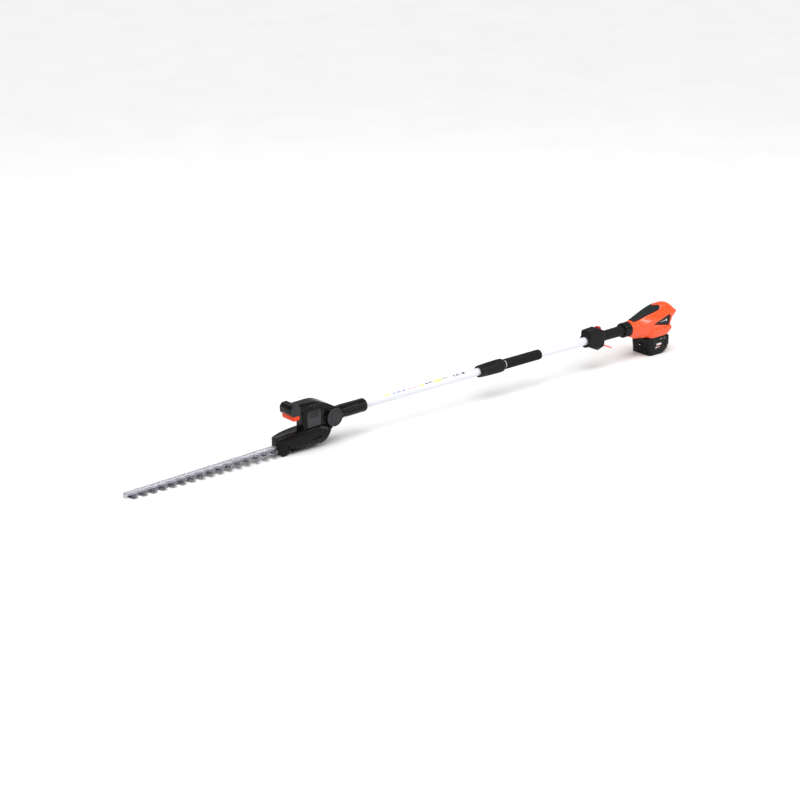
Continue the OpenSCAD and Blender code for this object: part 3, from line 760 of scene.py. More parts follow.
COLOURS = {
    "orange": ("Housing orange", (0.93, 0.085, 0.010)),
    "black": ("Gloss black", (0.0045, 0.0045, 0.005)),
    "satin": ("Satin black", (0.009, 0.009, 0.0095)),
    "matte": ("Matte black", (0.0065, 0.0065, 0.007)),
    "disc": ("Pivot disc grey", (0.036, 0.036, 0.040)),
    "pad": ("Soft pad", (0.008, 0.0115, 0.0125)),
    "foam": ("Foam", (0.009, 0.009, 0.0095)),
    "paint": ("Tube paint", (0.80, 0.80, 0.86)),
    "blade": ("Blade steel", (0.33, 0.33, 0.36)),
    "bar": ("Blade bar", (0.60, 0.60, 0.66)),
    "steel": ("Fasteners", (0.62, 0.62, 0.64)),
    "trigger": ("Triggers", (0.95, 0.075, 0.018)),
    "red": ("Lock-off button", (0.50, 0.012, 0.010)),
    "grey": ("Grey plastic", (0.065, 0.070, 0.072)),
    "board": ("Circuit board", (0.010, 0.075, 0.030)),
    "brass": ("Contacts", (0.72, 0.48, 0.20)),
    "wrap": ("Cell sleeve", (0.03, 0.20, 0.24)),
    "natural": ("Natural nylon", (0.72, 0.69, 0.60)),
    "mark_light": ("Light marks", (0.72, 0.72, 0.74)),
    "mark_yellow": ("Yellow marks", (0.80, 0.70, 0.10)),
    "mark_dark": ("Dark marks", (0.05, 0.06, 0.08)),
    "mark_blue": ("Blue marks", (0.10, 0.13, 0.42)),
}


def colour_property(title, value):
    return bpy.props.FloatVectorProperty(
        name=title, description=f"Linear colour of the {title.lower()}", subtype="COLOR",
        size=3, min=0.0, max=1.0, default=value)


class TrimmerColours(bpy.types.PropertyGroup):
    """Colours of the trimmer's finishes."""
    __annotations__ = {key: colour_property(title, value)
                       for key, (title, value) in COLOURS.items()}


class TrimmerSizes(bpy.types.PropertyGroup):
    """Sizes that the frame leaves open."""
    edge_voxel: bpy.props.FloatProperty(
        name="Moulding detail", description="Grid size of the moulded shells",
        default=0.0009, min=0.0005, max=0.003, precision=4, unit="LENGTH")
    pad_stand: bpy.props.FloatProperty(
        name="Pad height", description="How far the soft pad stands above the housing",
        default=0.001, min=0.0, max=0.003, precision=4, unit="LENGTH")
    gap_width: bpy.props.FloatProperty(
        name="Shadow gap", description="Gap round inlaid panels and pads",
        default=0.0008, min=0.0003, max=0.002, precision=4, unit="LENGTH")
    collar_ribs: bpy.props.IntProperty(
        name="Collar ribs", description="Grip ribs round the twist collar",
        default=18, min=6, max=36)
    column_slits: bpy.props.IntProperty(
        name="Column slits", description="Cooling slits on each side of the motor column",
        default=5, min=1, max=8)
    bar_bolts: bpy.props.IntProperty(
        name="Bar bolts", description="Button bolts along the blade bar",
        default=6, min=2, max=6)
    blade_teeth: bpy.props.IntProperty(
        name="Blade teeth", description="Teeth on each side of one blade",
        default=16, min=4, max=16)
    tooth_pitch: bpy.props.FloatProperty(
        name="Tooth pitch", description="Distance between neighbouring teeth",
        default=0.0314, min=0.02, max=0.0314, precision=4, unit="LENGTH")


# ---------- power unit ----------

HOUSING_SIDE = (
    [(-121, -26), (-109, -28.5), (-101, -36), (-57, -38), (-51, -41), (26, -41), (42, -35),
     (58, -21),
     (54, -9), (64, 13)]
    + curve_points((88, 31), (80, 53), (63, 65.5), (36, 66.5), 8)
    + [(-9, 64), (-112, 32), (-121, 29)])
PANEL = [(-30, 4.5), (49, -12), (56, 25), (38, 26)]

# x and z of each shell screw, and x and y of the head's case screws
HOUSING_SCREWS = [(-96, -17), (-60, 26), (62, 36), (50, -17)]
TRIGGER_SCREWS = [(-318, 26), (-312, -17), (-258, 17)]
CASE_SCREWS = [(-150, -20), (-150, 20), (-50, -22), (-50, 22)]

# x, bottom z, low half width, waist (half width, z), crease (half width, z), shoulder
# (half width, z), top z
HOUSING_STATIONS = [
    (-122, -26, 14, 25.4, 0, 23.0, 12, 12.0, 23, 27.0),
    (-114, -29, 15, 27.0, -1, 24.0, 13, 12.5, 24, 28.0),
    (-98, -38, 16, 30.0, -4, 27.0, 13, 14.0, 27, 33.0),
    (-80, -40, 20, 32.0, -6, 30.5, 14, 15.5, 32, 40.0),
    (-60, -42, 28, 34.0, -8, 33.5, 15, 17.0, 38, 47.5),
    (-30, -44, 34, 36.6, -7, 36.4, 17, 18.5, 47, 56.5),
    (0, -44, 35, 37.4, -6, 37.8, 20, 20.0, 54, 63.0),
    (30, -44, 35, 37.4, -3, 37.8, 24, 21.0, 57, 66.0),
    (55, -44, 34, 36.0, 2, 37.0, 28, 20.5, 55, 64.0),
    (75, -42, 32, 33.6, 8, 35.0, 31, 18.5, 47, 56.0),
    (93, -38, 28, 29.5, 12, 31.5, 33, 15.0, 38, 46.0),
]


def housing_section(x, z_low, w_low, w_mid, z_mid, w_edge, z_edge, w_top, z_top, z_crown):
    half = [(w_low * 0.5, z_low), (w_low, z_low + 1), (w_mid - 0.5, z_mid - 10),
            (w_mid, z_mid), (w_edge - 0.2, z_edge - 2.5), (w_edge + 0.4, z_edge),
            (w_edge - 1.6, z_edge + 2.2),
            (w_edge * 0.52 + w_top * 0.48, z_edge * 0.6 + z_top * 0.4),
            (w_top, z_top), (w_top * 0.62, z_top * 0.3 + z_crown * 0.7 - 0.6),
            (0, z_crown)]
    right = half
    left = [(-y, z) for y, z in reversed(half[:-1])]
    return [(x, y, z) for y, z in right + left + [(0, z_low)]]


def housing_skin(name):
    """The lofted outer form of the orange shell, before anything is cut out of it."""
    rings = [housing_section(*row) for row in catmull(HOUSING_STATIONS, 4)]
    return subdivided(stack(name, rings, POLE), 1)


def make_power_housing(sizes):
    skin = housing_skin("housing_skin")
    for y in (-1, 1):
        skirt = front_slab("skirt", round_corners(
            [(y * 20, -41), (y * 42, -41), (y * 42, -17), (y * 37, -10), (y * 20, -6)][::y],
            1.5), -47, 62, POLE)
        join(skin, skirt)
    keep(skin, side_slab("profile", round_corners(HOUSING_SIDE, 3.0, 3), -60, 60, POLE))
    for y in (-1, 1):
        flare = [(-60, y * 33.6), (-48, y * 34.2), (-31, y * 42.4), (-31, y * 60), (-60, y * 60)]
        cut(skin, plan_slab("flare", flare[::y], -60, -8, POLE))
    cut(skin, plan_slab("rear_left", [(30, -60), (100, -60), (100, -31), (88, -33.5),
                                      (72, -38.5), (52, -42.5)], -80, 90, POLE))
    cut(skin, plan_slab("rear_right", [(30, 60), (52, 42.5), (72, 38.5), (88, 33.5),
                                       (100, 31), (100, 60)], -80, 90, POLE))

    gap = sizes.gap_width * 1000
    inner = grown(skin, "inner", -1.6)
    outer = grown(skin, "outer", sizes.pad_stand * 1000)

    half = [(-111, 11), (-101, 15.5), (-60, 19.5), (-20, 22.8), (4, 23.8), (13, 22.5),
            (17.5, 18.5), (14, 12.5), (2, 6)]
    lobes = [(x, -y) for x, y in half] + [(-9, 0)] + half[::-1]
    inset = [(x * 0.985 - 0.6, y * (1 - gap / 16)) for x, y in lobes]
    pad_hole = round_corners(lobes, 6, 4)
    pad_edge = round_corners(inset, 6, 4)
    pad = keep(plan_slab("soft_pad", pad_edge, 14, 90, POLE), outer)
    cut(pad, copy_of(inner, "inner_pad"))

    panels = keep(side_slab("side_panels", round_corners(PANEL, 5, 4), -70, 70, POLE),
                  copy_of(inner, "inner_panel"))
    cut(panels, block("middle", (-80, 90), (-24, 24), (-60, 80), POLE))

    for y in (-1, 1):
        cut(skin, side_slab("panel_bay", round_corners(PANEL, 5.5, 4),
                            *sorted((y * 23.5, y * 70)), POLE))
    pad_recess = plan_slab("pad_recess", pad_hole, 14, 90, POLE)
    cut(pad_recess, inner)
    cut(skin, pad_recess)

    # the slot that takes the battery, the pocket over it and the tube's socket
    cut(skin, block("slot", (-47.4, 120), (-24.6, 24.6), (-60, -33.6), POLE),
        turned("socket", [(-140, 0), (-140, 14.1), (-60, 14.1), (-60, 0)], POLE),
        plan_slab("inside", [(-44, -30), (52, -30), (52, 30), (-44, 30)], -28, 12, POLE))
    # cooling slots on the rear faces between the two fins
    for z in (-16, -11.5, -7):
        for y in (-1, 1):
            cut(skin, block("rear_slot", (50, 80), (y * 5, y * 24)[::y], (z, z + 2.2), POLE))
    for x, z in HOUSING_SCREWS:
        cut(skin, turned("screw_well", [(18, 0), (18, 3.6), (60, 3.9), (60, 0)], POLE, "y",
                         (x, 0, z), 24))
    voxel = sizes.edge_voxel * 1000 * 1.15
    moulded(skin, voxel, 3, 0.45)
    skin.name = "power_housing"
    finished(skin, "power_unit", "orange_shell", FINISHES["orange_shell"],
             "housing_left", "housing_right")
    moulded(pad, 1.0, 5, 0.5)
    finished(pad, "power_unit", "soft_pad", FINISHES["soft_pad"], "top_pad")
    moulded(panels, 0.9, 3, 0.5)
    finished(panels, "power_unit", "black_shell", FINISHES["satin_black"], "side_panels")


def panel_marks():
    """Generic light marks on the panels: a row of bars and a round boss, no lettering."""
    marks = []
    for y in (-1, 1):
        for i, (x, w, h) in enumerate(((4, 7, 1.6), (13, 6, 2.2), (21, 5, 3.0))):
            z = 6.6 + i * 0.6
            outline = rounded_box((x, x + w), (z, z + h), 0.6, 2)
            marks.append(side_slab("bar", outline, *sorted((y * 34.4, y * 36.3)), POLE))
        marks.append(turned("boss", [(y * 34, 0), (y * 34, 3.8), (y * 36.1, 3.8),
                                     (y * 36.6, 2.6), (y * 36.6, 0)], POLE, "y",
                            (33, 0, 9.6), 32))
    return marks


def screw_head(name, space, centre, axis="y", radius=3.2, height=2.0):
    """A pan head with a six-lobe drive sunk into it."""
    head = turned(name, [(-3.0, 0), (-3.0, radius * 0.5), (0, radius * 0.52), (0, radius),
                         (height * 0.45, radius), (height * 0.85, radius * 0.8),
                         (height, radius * 0.45), (height, 0)], space, axis, centre, 32)
    star = []
    for i in range(24):
        r = radius * (0.48 + 0.1 * math.cos(math.tau * i / 4))
        star.append((r * math.cos(math.tau * i / 24), r * math.sin(math.tau * i / 24)))
    x, y, z = centre
    if axis == "y":
        drive = side_slab("drive", [(x + a, z + b) for a, b in star], y + height * 0.35,
                          y + height + 2, space)
    elif axis == "x":
        drive = front_slab("drive", [(y + a, z + b) for a, b in star], x + height * 0.35,
                           x + height + 2, space)
    else:
        drive = plan_slab("drive", [(x + a, y + b) for a, b in star], z + height * 0.35,
                          z + height + 2, space)
    return cut(head, drive)


# ---------- battery ----------

def make_battery(sizes):
    x, w, h = 46.5, 40.0, 62.0
    voxel = sizes.edge_voxel * 1000
    profile = [(-x - 1, 2), (-x + 3, 0), (14, 0), (34, 10), (x - 1, 18), (x, 24), (x, h),
               (-x - 12, h), (-x - 11, h - 8), (-x - 5, 30), (-x - 1, 17)]
    case = side_slab("battery_case", round_corners(profile, 3, 4), -w, w, BATTERY)
    keep(case, plan_slab("corners", round_corners(
        [(-x - 14, -w + 6), (-x - 2, -w + 2), (-x + 9, -w), (x - 6, -w), (x, -w + 6),
         (x, w - 6), (x - 6, w), (-x + 9, w), (-x - 2, w - 2), (-x - 14, w - 6)],
        3, 4), -5, 80, BATTERY))
    # bumper ledge round the foot
    ledge = plan_slab("ledge", round_corners(
        [(-x - 1.5, -w + 9), (-x + 8, -w - 1.2), (16, -w - 1.2), (30, -w + 1),
         (30, w - 1), (16, w + 1.2), (-x + 8, w + 1.2), (-x - 1.5, w - 9)], 3, 4),
        0, 15, BATTERY)
    keep(ledge, side_slab("ledge_side", round_corners(
        [(-x - 2, 3), (-x + 2, 0), (14, 0), (34, 10), (30, 15), (14, 15), (-x + 2, 12.5),
         (-x - 2, 12.5)], 1.5, 3), -60, 60, BATTERY))
    join(case, ledge)
    # slide tongue
    join(case, block("tongue", (-46, 44), (-23.9, 23.9), (h - 4, 69.9), BATTERY))
    # upright rear posts beside the label
    for y in (-1, 1):
        post = side_slab("post", round_corners(
            [(22, 18), (40, 22), (44.5, 30), (44.5, 58), (40, 61.5), (30, 61.5), (27, 52),
             (27, 34)], 2.5, 3), *sorted((y * (w - 3), y * (w + 1.6))), BATTERY)
        join(case, post)
        frame_ = side_slab("label_frame", round_corners(
            [(-33, 18), (11, 18), (13, 46), (-29, 46), (-34, 41)], 3, 3),
            *sorted((y * (w - 3), y * (w + 0.9))), BATTERY)
        join(case, frame_)
        well = side_slab("label_well", round_corners(
            [(-29, 20.5), (8.5, 20.5), (10.5, 43.5), (-26, 43.5), (-29.5, 39)], 2.4, 3),
            *sorted((y * (w - 0.6), y * (w + 6))), BATTERY)
        cut(case, well)
    # recess and finger tab on the front
    cut(case, front_slab("front_recess", round_corners(
        [(-22, 20), (22, 20), (25, 50), (-25, 50)], 4, 4), -80, -x - 4.5, BATTERY))
    join(case, front_slab("front_tab", round_corners(
        [(-8, 30), (8, 30), (9, 40), (-9, 40)], 2, 3), -x - 9.5, -x + 2, BATTERY))
    for i in range(4):
        cut(case, block("vent", (-70, -x + 0.5), (-18, 18), (h - 12 + i * 2.6, h - 10.8 + i * 2.6),
                        BATTERY))
    # latch pocket, gauge pocket and the contact slots
    cut(case, block("latch_pocket", (38, 80), (-12.5, 12.5), (h - 9.2, 90), BATTERY),
        turned("gauge_pocket", [(-60, 0), (-60, 5.4), (-w + 3, 5.4), (-w + 3, 0)], BATTERY, "y",
               (24, 0, 52), 32))
    for y in (-14, 0, 14):
        cut(case, block("contact_slot", (-80, -20.3), (y - 1.6, y + 1.6), (h - 4, 90), BATTERY))
    moulded(case, voxel, 3, 0.45)
    case.name = "battery_shell"
    finished(case, "battery", "black_shell", FINISHES["black_shell"],
             "battery_case_lower", "battery_case_upper")

    labels, lines = [], []
    for y in (-1, 1):
        for low, high, z0, z1 in ((-15, 8, 32.0, 38.6), (-20, -10, 23.0, 26.6),
                                  (-8, 2, 24.2, 26.0)):
            outline = rounded_box((low, high), (z0, z1), 0.7, 2)
            labels.append(side_slab("label", outline, *sorted((y * (w - 1.6), y * (w + 0.1))),
                                    BATTERY))
        line = side_slab("label_line", rounded_box((-20, 6), (28.2, 29.8), 0.4, 2),
                         *sorted((y * (w - 1.6), y * (w + 0.1))), BATTERY)
        lines.append(bevelled(line, 0.12, 1))
    front_mark = front_slab("front_mark", rounded_box((-2.4, 2.4), (33, 36), 0.8, 2),
                            -x - 9.9, -x - 9.0, BATTERY)
    finished(merge("battery_label_lines", lines), "battery", "natural_plastic",
             FINISHES["button_red"])
    label = merge("battery_label", [bevelled(p, 0.12, 1) for p in labels + [front_mark]])
    finished(label, "battery", "natural_plastic", FINISHES["mark_light"])

    latch = block("battery_latch_key", (42.3, 47.5), (-11.7, 11.7), (h - 8.4, h + 0.4), BATTERY)
    join(latch, block("latch_face", (46, 48.9), (-8, 8), (h - 6.4, h - 1), BATTERY))
    for i in range(3):
        cut(latch, block("latch_rib", (48.3, 52), (-9, 9), (h - 5.4 + i * 1.6, h - 4.6 + i * 1.6),
                         BATTERY))
    bevelled(latch, 0.5)
    finished(latch, "latch", "trigger_orange", FINISHES["trigger_orange"], "battery_latch")
    gauge = turned("gauge_key", [(-w + 2.4, 0), (-w + 2.4, 5), (-w - 0.4, 5), (-w - 0.8, 4.4),
                                 (-w - 0.5, 2.5), (-w - 0.4, 0)], BATTERY, "y", (24, 0, 52), 48)
    finished(shade_smooth(gauge, 35), "gauge", "grey_plastic", FINISHES["grey_plastic"],
             "gauge_button")
    lamps = [turned("lamp", [(-w + 1.5, 0), (-w + 1.5, 0.9), (-w - 0.25, 0.9),
                             (-w - 0.45, 0.5), (-w - 0.45, 0)], BATTERY, "y",
                    (14.5 - i * 4, 0, 52.5), 16) for i in range(4)]
    finished(shade_smooth(merge("gauge_lamps", lamps), 40), "battery", "natural_plastic",
             FINISHES["mark_light"])


# ---------- grip and trigger ----------

TRIGGER_SIDE = [(-330, -12), (-322, -20), (-279, -39), (-257, -26), (-247, 14), (-258, 27),
                (-280, 37.5), (-324, 35), (-330, 27)]
TRIGGER_PIVOT = (-266, -22)


def make_trigger_housing(sizes):
    voxel = sizes.edge_voxel * 1000 * 0.9
    shell = side_slab("trigger_housing", TRIGGER_SIDE, -23, 23, POLE)
    keep(shell, front_slab("trigger_front", both_sides(
        [(13, -40), (22.6, -26), (23, 20), (16, 38)]), -400, -200, POLE))
    keep(shell, plan_slab("trigger_plan", mirrored(
        [(-331, 16), (-322, 22.2), (-300, 23), (-264, 23), (-246, 18)]), -60, 60, POLE))
    # round nose that holds the tube
    join(shell, turned("nose", [(-332, 0), (-332, 20.6), (-329.5, 22.6), (-320, 23.0),
                                (-312, 20), (-312, 0)], POLE))
    cut(shell, turned("mouth", [(-340, 0), (-340, 18.6), (-330.5, 18.2), (-325, 14.1),
                                (-228, 14.1), (-228, 0)], POLE))
    cut(shell, turned("grip_socket", [(-252.6, 0), (-252.6, 17.7), (-220, 17.7), (-220, 0)],
                      POLE))
    # shallow side facets, the lever's slot and the button's well
    for y in (-1, 1):
        cut(shell, side_slab("facet", [(-314, -15), (-279, -31), (-263, -22), (-256, 12),
                                       (-266, 20), (-314, 20)],
                             *sorted((y * 22.0, y * 30)), POLE))
    cut(shell, block("lever_slot", (-267, -200), (-7.4, 7.4), (-60, -16.8), POLE),
        block("button_well", (-278, -258), (-6.4, 6.4), (20, 60), POLE))
    for x, z in TRIGGER_SCREWS:
        cut(shell, turned("screw_well", [(15.5, 0), (15.5, 3.6), (60, 3.8), (60, 0)], POLE, "y",
                          (x, 0, z), 24))
    moulded(shell, voxel, 3, 0.5)
    shell.name = "trigger_shell"
    finished(shell, "power_unit", "matte_black", FINISHES["matte_black"],
             "trigger_housing_left", "trigger_housing_right")

    x, z = TRIGGER_PIVOT
    lever = side_slab("trigger_key", round_corners(
        [(x - 5, z + 3), (x - 4, z - 3.6), (x + 12, z - 6.5), (x + 24, z - 11),
         (x + 44, z - 19.4), (x + 61, z - 27), (x + 62.5, z - 23.5), (x + 45, z - 15.6),
         (x + 26, z - 6.8), (x + 14, z - 1.8), (x + 4, z + 3.4), (x + 2.5, z + 4.6),
         (x - 2.5, z + 4.6)], 1.4, 3), -6.9, 6.9, POLE)
    cut(lever, turned("pin_bore", [(-20, 0), (-20, 2.1), (20, 2.1), (20, 0)], POLE, "y",
                      (x, 0, z), 24))
    for i in range(6):
        a = 30 + i * 4.6
        cut(lever, block("rib", (x + a, x + a + 1.2), (-4.6, 4.6),
                         (z - 16.0 - (a - 24) * 0.43, z - 12.4 - (a - 24) * 0.43), POLE))
    bevelled(lever, 0.7)
    finished(lever, "trigger", "trigger_orange", FINISHES["trigger_orange"], "trigger_lever")

    button = side_slab("lock_off_key", round_corners(
        [(-277.5, 24), (-258.5, 25), (-258.5, 34), (-263.5, 38.4), (-277.5, 39.2)], 1.6, 3),
        -6, 6, POLE)
    join(button, block("lock_off_flange", (-277, -261), (-7.8, 7.8), (22.8, 24.8), POLE))
    for i in range(3):
        cut(button, block("rib", (-275 + i * 3.4, -273.8 + i * 3.4), (-9, 9), (38.2, 42), POLE))
    bevelled(button, 0.6)
    finished(button, "lock_off", "button_red", FINISHES["button_red"], "lock_off_button")


def make_rear_grip():
    profile = [(-252.3, 14.1), (-252.3, 16.6), (-249, 17.3), (-222, 17.2), (-190, 17.4),
               (-165, 17.8), (-155, 18.3), (-153, 18.4), (-153, 14.1)]
    grip = turned("rear_grip_sleeve", profile, POLE, sides=96)
    dimples = []
    for angle, count, first in ((196, 4, -236), (236, 3, -226), (156, 3, -226),
                                (344, 4, -236), (304, 3, -226), (24, 3, -226)):
        c, s = math.cos(math.radians(angle - 90)), math.sin(math.radians(angle - 90))
        for i in range(count):
            x = first + i * 21
            dimple = turned("dimple", [(-7.6, 0), (-6.6, 2.8), (-3.6, 4.3), (0, 4.8), (3.6, 4.3),
                                       (6.6, 2.8), (7.6, 0)], POLE, "x",
                            (x, 20.2 * c, 20.2 * s), 16)
            dimples.append(dimple)
    cut(grip, merge("dimples", dimples))
    moulded(grip, 0.75, 2, 0.45)
    finished(grip, "power_unit", "soft_pad", FINISHES["matte_black"], "rear_grip")

    collar = turned("collar_ring", [(-152.9, 14.1), (-152.9, 22.8), (-151, 25.0), (-148, 25.6),
                                    (-143.5, 25.6), (-142.4, 24.6), (-133, 24.6), (-131.5, 25.6),
                                    (-124, 25.6), (-121.2, 25.0), (-120.2, 23.6),
                                    (-120.2, 14.1)], POLE, sides=96)
    ear = front_slab("clamp_ear", round_corners([(-26.8, -8), (-15, -8), (-15, 8), (-26.8, 8)],
                                                 2.5, 3), -142, -131.4, POLE)
    join(collar, ear)
    cut(collar, turned("ear_well", [(0, 0), (0, 3.4), (8, 3.6), (8, 0)], POLE, "z",
                       (-136.7, -21.6, 4.6), 24))
    moulded(collar, 0.8, 3, 0.5)
    finished(collar, "power_unit", "black_shell", FINISHES["black_shell"], "rear_collar")
    screw = screw_head("collar_screw", POLE, (-136.7, -21.6, 5.2), "z", 2.9, 2.0)
    bevelled(screw, 0.15, 1)
    finished(screw, "power_unit", "fastener_steel", FINISHES["fastener_steel"])


# ---------- tubes, foam and twist lock ----------

def tube_patch(name, x0, x1, low, high, radius):
    """A thin sticker on the tube between two angles, nought being straight up."""
    rings = []
    steps = 14
    for i in range(steps + 1):
        a = math.radians(low + (high - low) * i / steps)
        c, s = math.cos(a), math.sin(a)
        rings.append([(x, -r * s, r * c) for x, r in
                      ((x0, radius - 0.1), (x0, radius + 0.06), (x1, radius + 0.06),
                       (x1, radius - 0.1))])
    return stack(name, rings, POLE)


def make_tubes():
    outer = turned("outer_tube_skin", [(-742, 12.75), (-742, 13.7), (-741.6, 14), (-100.4, 14),
                                       (-100, 13.7), (-100, 12.75)], POLE, sides=96)
    finished(shade_smooth(outer, 40), "power_unit", "white_paint", FINISHES["white_paint"],
             "outer_tube")
    inner = turned("inner_tube_skin", [(-1345, 11.25), (-1345, 12.2), (-1344.6, 12.5),
                                       (-600.4, 12.5), (-600, 12.2), (-600, 11.25)], POLE,
                   sides=96)
    finished(shade_smooth(inner, 40), "front_pole", "white_paint", FINISHES["white_paint"],
             "inner_tube")


def make_tube_marks():
    """Plain coloured blocks along the front tube; they say nothing."""
    groups = {"mark_yellow": [(-1196, -1176, 20, 40), (-1056, -1040, 14, 40),
                              (-998, -966, 6, 38)],
              "mark_blue": [(-1164, -1152, 26, 36), (-1147, -1133, 22, 34),
                            (-1127, -1114, 22, 36)],
              "button_red": [(-1103, -1092, 26, 32), (-1084, -1070, 26, 31)],
              "mark_dark": [(-1034, -1022, 14, 30), (-1019, -1004, 12, 26),
                            (-961, -944, 4, 22), (-917, -871, -6, 36)],
              "mark_light": [(-957, -948, 10, 20), (-913, -904, 0, 28),
                             (-899, -880, 2, 30)]}
    for key, patches in groups.items():
        lift = 0.03 if key == "mark_light" else 0.0
        marks = [tube_patch(key, x0, x1, low, high, 12.5 + lift)
                 for x0, x1, low, high in patches]
        piece = merge("tube_" + key, marks)
        finished(shade_smooth(piece, 40), "front_pole", "natural_plastic", FINISHES[key])


def make_foam():
    rows = [(-696.2, 14.05), (-696.2, 14.6), (-695.6, 15.6), (-693.5, 16.4), (-690, 16.6)]
    for i in range(1, 12):
        x = -690 + i * 11.8
        rows.append((x, 16.5 + 0.16 * math.sin(i * 2.4)))
    rows += [(-546.5, 16.6), (-543, 16.3), (-541.4, 15.5), (-540.8, 14.6), (-540.8, 14.05)]
    foam = turned("foam_sleeve", rows, POLE, sides=96)
    finished(shade_smooth(foam, 60), "power_unit", "foam", FINISHES["foam"], "foam_grip")


def make_twist_lock(sizes):
    nut = turned("twist_nut", [
        (-802, 16.8), (-706, 16.8), (-706, 14.3), (-701, 14.3), (-701, 16.2), (-701.8, 17.4),
        (-708, 20.4), (-710, 21.2), (-716, 21.8), (-721, 21.8), (-723, 20.9), (-745, 20.2),
        (-770, 19.6), (-786, 19.0), (-788, 19.9), (-791, 20.2), (-804, 19.4), (-808, 18.8),
        (-810, 17.6), (-810, 16.4), (-808.6, 15.2), (-806.5, 12.8), (-802, 12.8)], POLE,
        sides=96)
    rib = stack("grip_rib", [[(x, y, z) for y, z in ((-1.6, 17.6), (1.6, 17.6), (0.9, top),
                                                    (-0.9, top))]
                             for x, top in ((-792, 19.0), (-789, 20.3), (-770, 20.9),
                                            (-745, 21.5), (-726, 21.9), (-721, 20.8))],
                Matrix.Scale(0.001, 4))
    ribs = repeated("grip_ribs", rib, sizes.collar_ribs, start=tuple(POLE.translation),
                    angle=math.tau / sizes.collar_ribs, kind="ring_about_x")
    whole = merge("twist_collar_shell", [shade_smooth(nut, 40), shade_smooth(ribs, 30)])
    finished(whole, "twist_collar", "matte_black", FINISHES["satin_black"], "clamp_nut")


# ---------- bracket on the pole ----------

def make_bracket():
    sleeve = turned("bracket_sleeve", [(31, 0), (31, 19.5), (36, 20.6), (44, 21.0), (112, 20.5),
                                       (120, 20.9), (128, 20.8), (131.4, 19.8), (132, 18.4),
                                       (132, 0)], PIVOTED)
    hub = turned("bracket_hub", [(-17.8, 0), (-17.8, 21.6), (-17, 22.4), (17, 22.4),
                                 (17.8, 21.6), (17.8, 0)], PIVOTED, "y")
    neck = turned("bracket_neck", [(4, 0), (4, 20.3), (36, 20.3), (36, 0)], PIVOTED)
    keep(neck, block("neck_width", (-10, 40), (-17.8, 17.8), (-30, 30), PIVOTED))
    body = join(hub, neck, sleeve)
    cut(body, turned("bore", [(60, 0), (60, 12.6), (200, 12.6), (200, 0)], PIVOTED),
        turned("pin_bore", [(-30, 0), (-30, 5.1), (30, 5.1), (30, 0)], PIVOTED, "y"),
        turned("ring_slot", [(-2.1, 0), (-2.1, 24.6), (2.1, 24.6), (2.1, 0)], PIVOTED, "y"),
        turned("lead_bore", [(30, 0), (30, 6), (62, 6), (62, 0)], PIVOTED))
    for x in (50, 110):
        cut(body, turned("screw_well", [(-40, 0), (-40, 3.7), (-11, 3.7), (-11, 0)], PIVOTED,
                         "y", (x, 0, -15.6), 24))
    # flat flutes that stiffen the sleeve
    for angle in (38, 142, 90):
        c, s = math.cos(math.radians(angle)), math.sin(math.radians(angle))
        cut(body, turned("flute", [(52, 0), (56, 2.0), (104, 2.0), (108, 0)], PIVOTED, "x",
                         (0, -21.6 * s, 21.6 * c), 20))
    moulded(body, 0.8, 3, 0.5)
    body.name = "pole_bracket"
    finished(body, "front_pole", "black_shell", FINISHES["black_shell"],
             "bracket_left", "bracket_right")
    heads = []
    for x in (50, 110):
        heads.append(screw_head("bracket_screw", PIVOTED @ Matrix.Rotation(math.pi, 4, "Z"),
                                (-x, 11.2, -15.6), "y", 3.3, 1.6))
    screws = merge("bracket_screw_heads", heads)
    bevelled(screws, 0.15, 1)
    finished(screws, "front_pole", "fastener_steel", FINISHES["fastener_steel"])


# ---------- cutter head ----------

EAR_IN = 18.3
EAR_OUT = 29.5
CASE_PLAN = mirrored([(-200, 15), (-188, 21.5), (-165, 26.5), (-140, 29.2), (-100, 31.2),
                      (-40, 31.6), (30, 31)])
COLUMN_PLAN = mirrored([(-108, 15.5), (-102.5, 20.6), (-40.5, 20.6), (-35, 17)])
ARCH_TOP = curve_points((-92, 64), (-45, 65.5), (-15, 46), (24, 17), 14)
BELLY = [(-200, -24), (-200, -44.3), (-165, -44.3), (-164, -66), (-137, -70.5), (-60, -70.5),
         (-38, -69.5), (-24, -50), (-14, -31), (-14, -20)]


def sweep_tools(name):
    """The space that the bracket sweeps through as the head tilts."""
    up, down = math.radians(45), math.radians(75)
    reach, half = 90, 21
    high = [(-half * math.sin(up), half * math.cos(up)),
            (-half * math.sin(up) + reach * math.cos(up),
             half * math.cos(up) + reach * math.sin(up))]
    low = [(-half * math.sin(down) + reach * math.cos(down),
            -half * math.cos(down) - reach * math.sin(down)),
           (-half * math.sin(down), -half * math.cos(down))]
    fan = [low[1], low[0], (reach, -40), (reach, 80), high[1], high[0]]
    wide = side_slab(name + "_wide", fan, -half, half, HEAD)
    cut(wide, turned("core", [(-60, 0), (-60, 33.7), (60, 33.7), (60, 0)], HEAD, "y"))
    return [turned(name + "_hub", [(-EAR_IN, 0), (-EAR_IN, 24.8), (EAR_IN, 24.8), (EAR_IN, 0)],
                   HEAD, "y"),
            side_slab(name + "_fan", fan, -EAR_IN, EAR_IN, HEAD), wide]


def cooling_slits(sizes):
    """The tools that cut the cooling slits through both sides of the motor column."""
    slit = block("slit", (-89, -53), (-26, 26), (15, 16.8), HEAD)
    return repeated("slits", slit, sizes.column_slits, step=in_space(HEAD, (0, 0, 4.2)))


